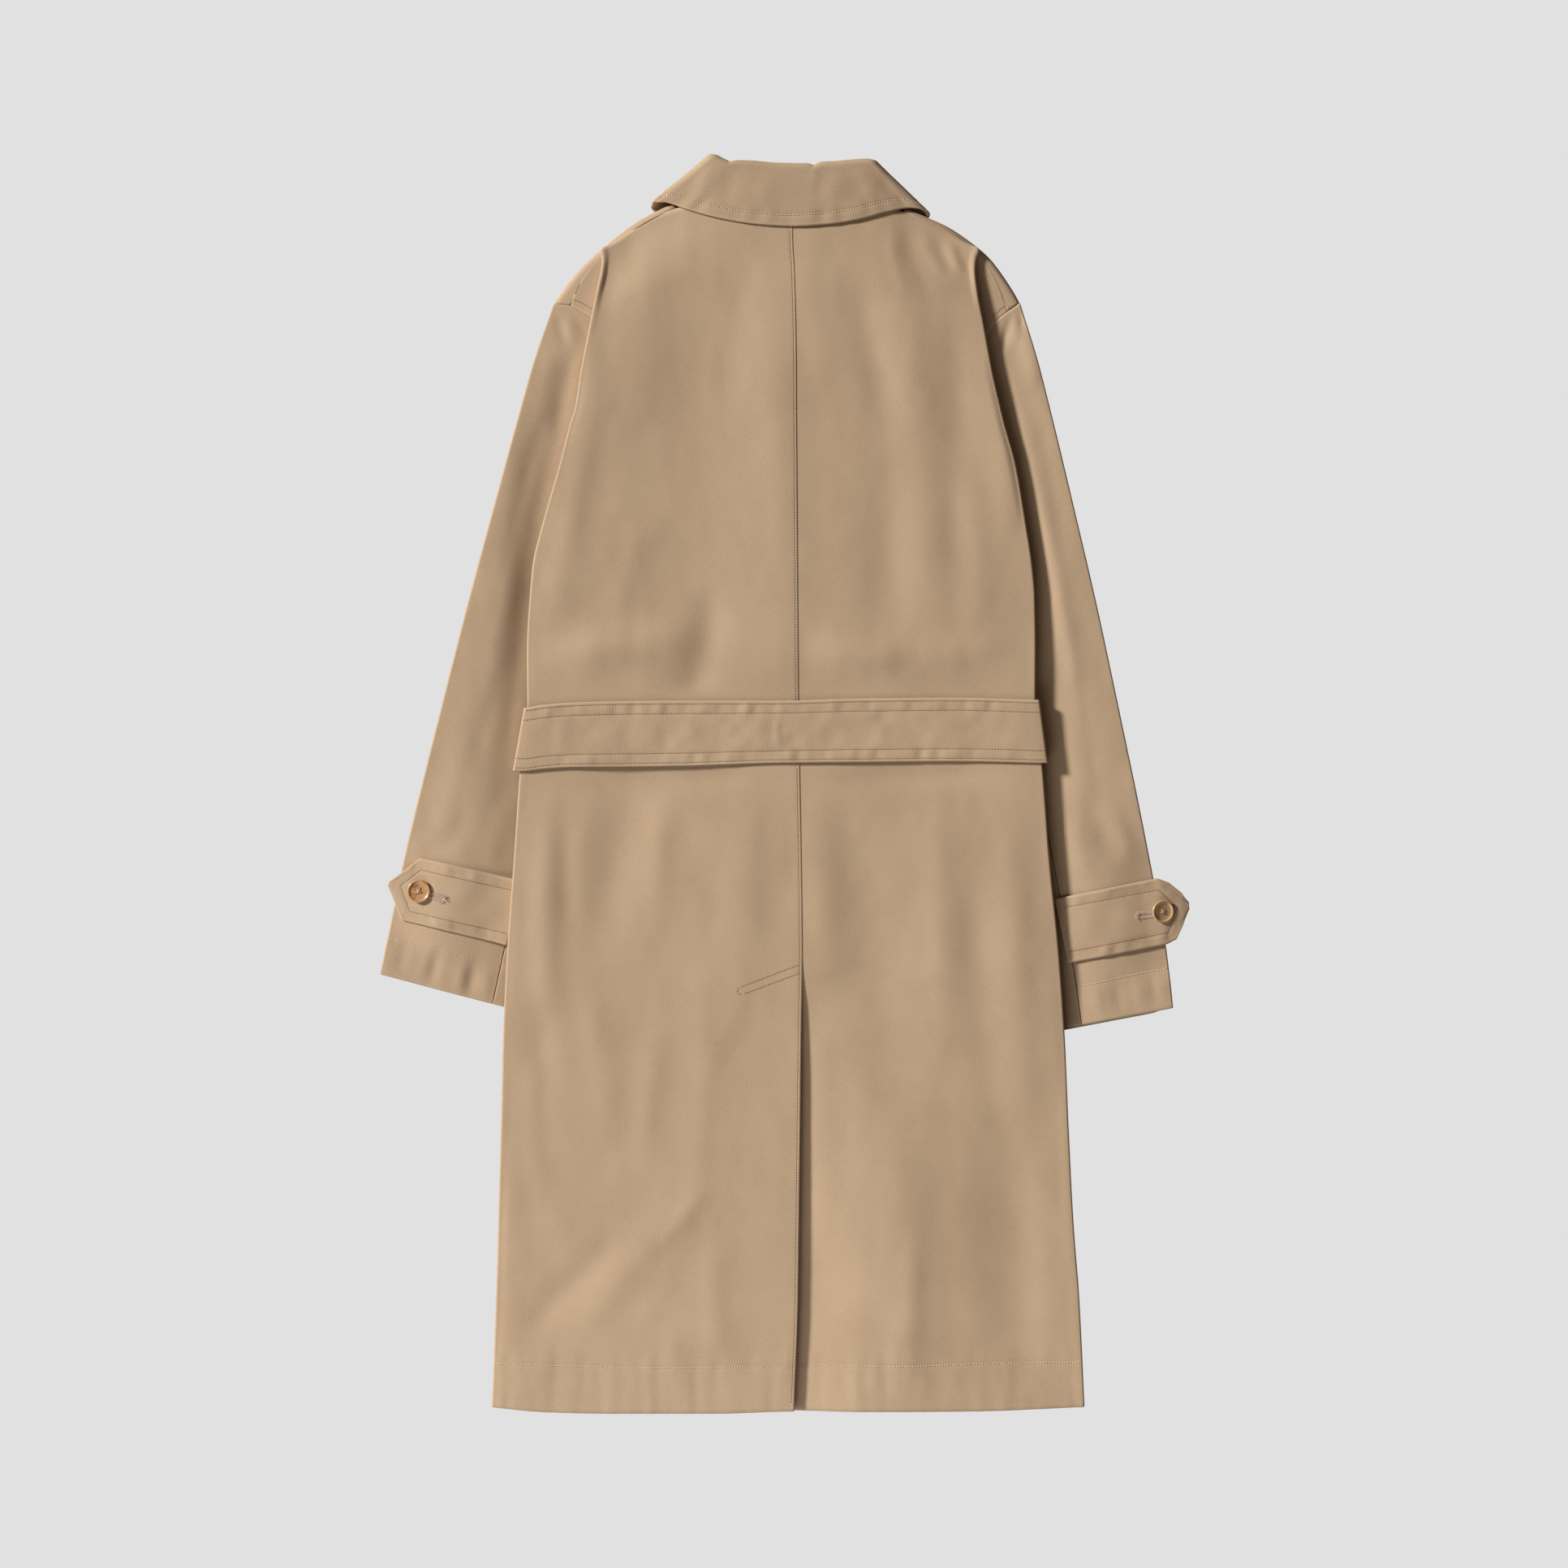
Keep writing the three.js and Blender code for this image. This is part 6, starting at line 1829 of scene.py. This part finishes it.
class COAT_OT_sewing(Operator):
    """Makes the rows of stitches"""

    bl_idname = "coat.sewing"
    bl_label = "Sewing"

    def execute(self, context):
        settings = context.scene.coat
        # The brown thread carries painted shade of the sunken stitches. The pale one carries a painted highlight on
        # the raised stitches.
        finish, pale = thread_finish(settings), highlit_thread_finish()
        pitch = settings.stitch_pitch / MM
        radius = settings.thread_radius / MM

        def named(name):
            return Surface(bpy.data.objects[name])

        back = {side: named(f"back_{side}_panel") for side in SIDES}
        thread = Thread(radius)
        y = spread(476, -534, 3)
        centre = np.stack([BODY.at("seam", y) - TOPSTITCH_IN, y], axis=-1)
        thread.row(back["left"], centre, pitch, lambda _, at_y: 16 < at_y < 70)
        for line in VENT_BAR:
            thread.row(back["left"], smooth_path(line), pitch)
        thread.piece("back_sewing", finish)

        # Hem and cuff stitches, in the thread with a painted highlight.
        thread = Thread(radius * PALE_THREAD)
        for side in SIDES:
            x = spread(BODY.at(side, -500) - SIDES[side] * 3, BODY.at("seam", -500) + SIDES[side] * 2, 3)
            thread.row(back[side], np.stack([x, HEM_STITCH[side].at("y", x)], axis=-1), pitch)
            thread.row(named(f"sleeve_{side}_tube"), smooth_path(CUFF_STITCH[side]), pitch)
        thread.piece("hem_sewing", pale)

        thread = Thread(radius)
        for side in SIDES:
            point = named(f"shoulder_{side}_point")
            for line in (ARMHOLE_TOPSTITCH[side], SHOULDER_TOPSTITCH[side]):
                if line:
                    thread.row(point, smooth_path(line), pitch)
        thread.piece("shoulder_sewing", finish)

        # Collar stitches, in the thread with a painted highlight.
        thread = Thread(radius * PALE_THREAD)
        row = collar_rows()
        on_top = row["level"] > 0.6
        up = np.stack([row["fold_x"] - row["edge_x"], row["fold_y"] - row["edge_y"]], axis=-1)[on_top]
        up /= np.linalg.norm(up, axis=-1, keepdims=True)
        edge = np.stack([row["edge_x"], row["edge_y"]], axis=-1)[on_top]
        thread.row(named("collar_fall"), edge + up * COLLAR_STITCH_IN, pitch)
        thread.piece("collar_sewing", pale)

        thread = Thread(radius)
        band = named("belt_band")
        for inside in BELT_STITCHES:
            x = spread(-231, 226, 3)
            y = mix(BELT.at("top", x), BELT.at("bottom", x), inside / BELT_WIDTH)
            thread.row(band, np.stack([x, y], axis=-1), pitch)
        thread.piece("belt_sewing", finish)

        thread = Thread(radius)
        for side in SIDES:
            thread.row(named(f"strap_{side}_band"), straight_path(STRAP_STITCH[side]), pitch)
        thread.piece("strap_sewing", finish)
        return {"FINISHED"}


# Stage
CAMERA_HEIGHT = 3.203
LENS = 85
LIGHTS = {
    "key": {"azimuth": 152, "elevation": 27, "distance": 9.0, "size": 1.26, "power": 1245},
    "low": {"azimuth": 250, "elevation": 36, "distance": 1.8, "size": 1.2, "power": 12},
}
FILL = 0.1
FILL_COLOUR = (1.0, 0.82, 0.72, 1.0)
BACKGROUND = "e1e1e1"
BOUNCE = "b8ada2"
FLOOR_REACH = 6


class COAT_OT_stage(Operator):
    """Makes the floor, the light and the camera"""

    bl_idname = "coat.stage"
    bl_label = "Stage"

    def execute(self, context):
        scene = context.scene
        reach = FLOOR_REACH
        corners = np.array([(-reach, -reach, 0), (reach, -reach, 0), (reach, reach, 0), (-reach, reach, 0)], float)
        drop = np.array([0, 0, 0.0001])
        seen = make_piece("background", corners - drop, [[0, 1, 2, 3]], plain_background(BACKGROUND), smooth=False)
        seen.visible_diffuse = seen.visible_glossy = seen.visible_shadow = False
        floor = make_piece("floor", corners - 2 * drop, [[0, 1, 2, 3]], matt_paper("matt paper", BOUNCE), smooth=False)
        floor.visible_camera = False
        world = bpy.data.worlds.new("studio")
        world.use_nodes = True
        world.node_tree.nodes["Background"].inputs["Color"].default_value = FILL_COLOUR
        world.node_tree.nodes["Background"].inputs["Strength"].default_value = FILL
        scene.world = world
        for name, setting in LIGHTS.items():
            turn, rise = math.radians(setting["azimuth"]), math.radians(setting["elevation"])
            place = Vector((math.cos(rise) * math.cos(turn), math.cos(rise) * math.sin(turn), math.sin(rise)))
            place *= setting["distance"]
            light = bpy.data.lights.new(name, "AREA")
            light.shape = "SQUARE"
            light.size = setting["size"]
            light.energy = setting["power"]
            lamp = bpy.data.objects.new(name, light)
            lamp.location = place
            lamp.rotation_euler = (-place).to_track_quat("-Z", "Y").to_euler()
            lamp.visible_camera = False
            scene.collection.objects.link(lamp)
        camera = bpy.data.cameras.new("camera")
        camera.lens = LENS
        camera.sensor_width = 36
        eye = bpy.data.objects.new("camera", camera)
        eye.location = (0, 0, CAMERA_HEIGHT)
        scene.collection.objects.link(eye)
        scene.camera = eye
        scene.view_settings.view_transform = "Standard"
        return {"FINISHED"}


class COAT_PT_parts(Panel):
    """Lists the coat's sizes, colours and pieces"""

    bl_idname = "COAT_PT_parts"
    bl_label = "Belted Coat"
    bl_space_type = "VIEW_3D"
    bl_region_type = "UI"
    bl_category = "Coat"

    def draw(self, context):
        for name in CoatSettings.__annotations__:
            self.layout.prop(context.scene.coat, name)
        for operator in OPERATORS:
            self.layout.operator(operator.bl_idname)


OPERATORS = (
    COAT_OT_back,
    COAT_OT_fronts,
    COAT_OT_sleeves,
    COAT_OT_collar,
    COAT_OT_belt,
    COAT_OT_straps,
    COAT_OT_buttons,
    COAT_OT_sewing,
    COAT_OT_stage,
)
CLASSES = (CoatSettings, *OPERATORS, COAT_PT_parts)


def register():
    for kind in CLASSES:
        bpy.utils.register_class(kind)
    bpy.types.Scene.coat = PointerProperty(type=CoatSettings)


def unregister():
    del bpy.types.Scene.coat
    for kind in reversed(CLASSES):
        bpy.utils.unregister_class(kind)


def main():
    """Makes the whole coat and its stage."""
    register()
    bpy.ops.coat.back()
    bpy.ops.coat.fronts()
    bpy.ops.coat.sleeves()
    bpy.ops.coat.collar()
    bpy.ops.coat.belt()
    bpy.ops.coat.straps()
    bpy.ops.coat.buttons()
    bpy.ops.coat.sewing()
    bpy.ops.coat.stage()


if __name__ == "__main__":
    main()
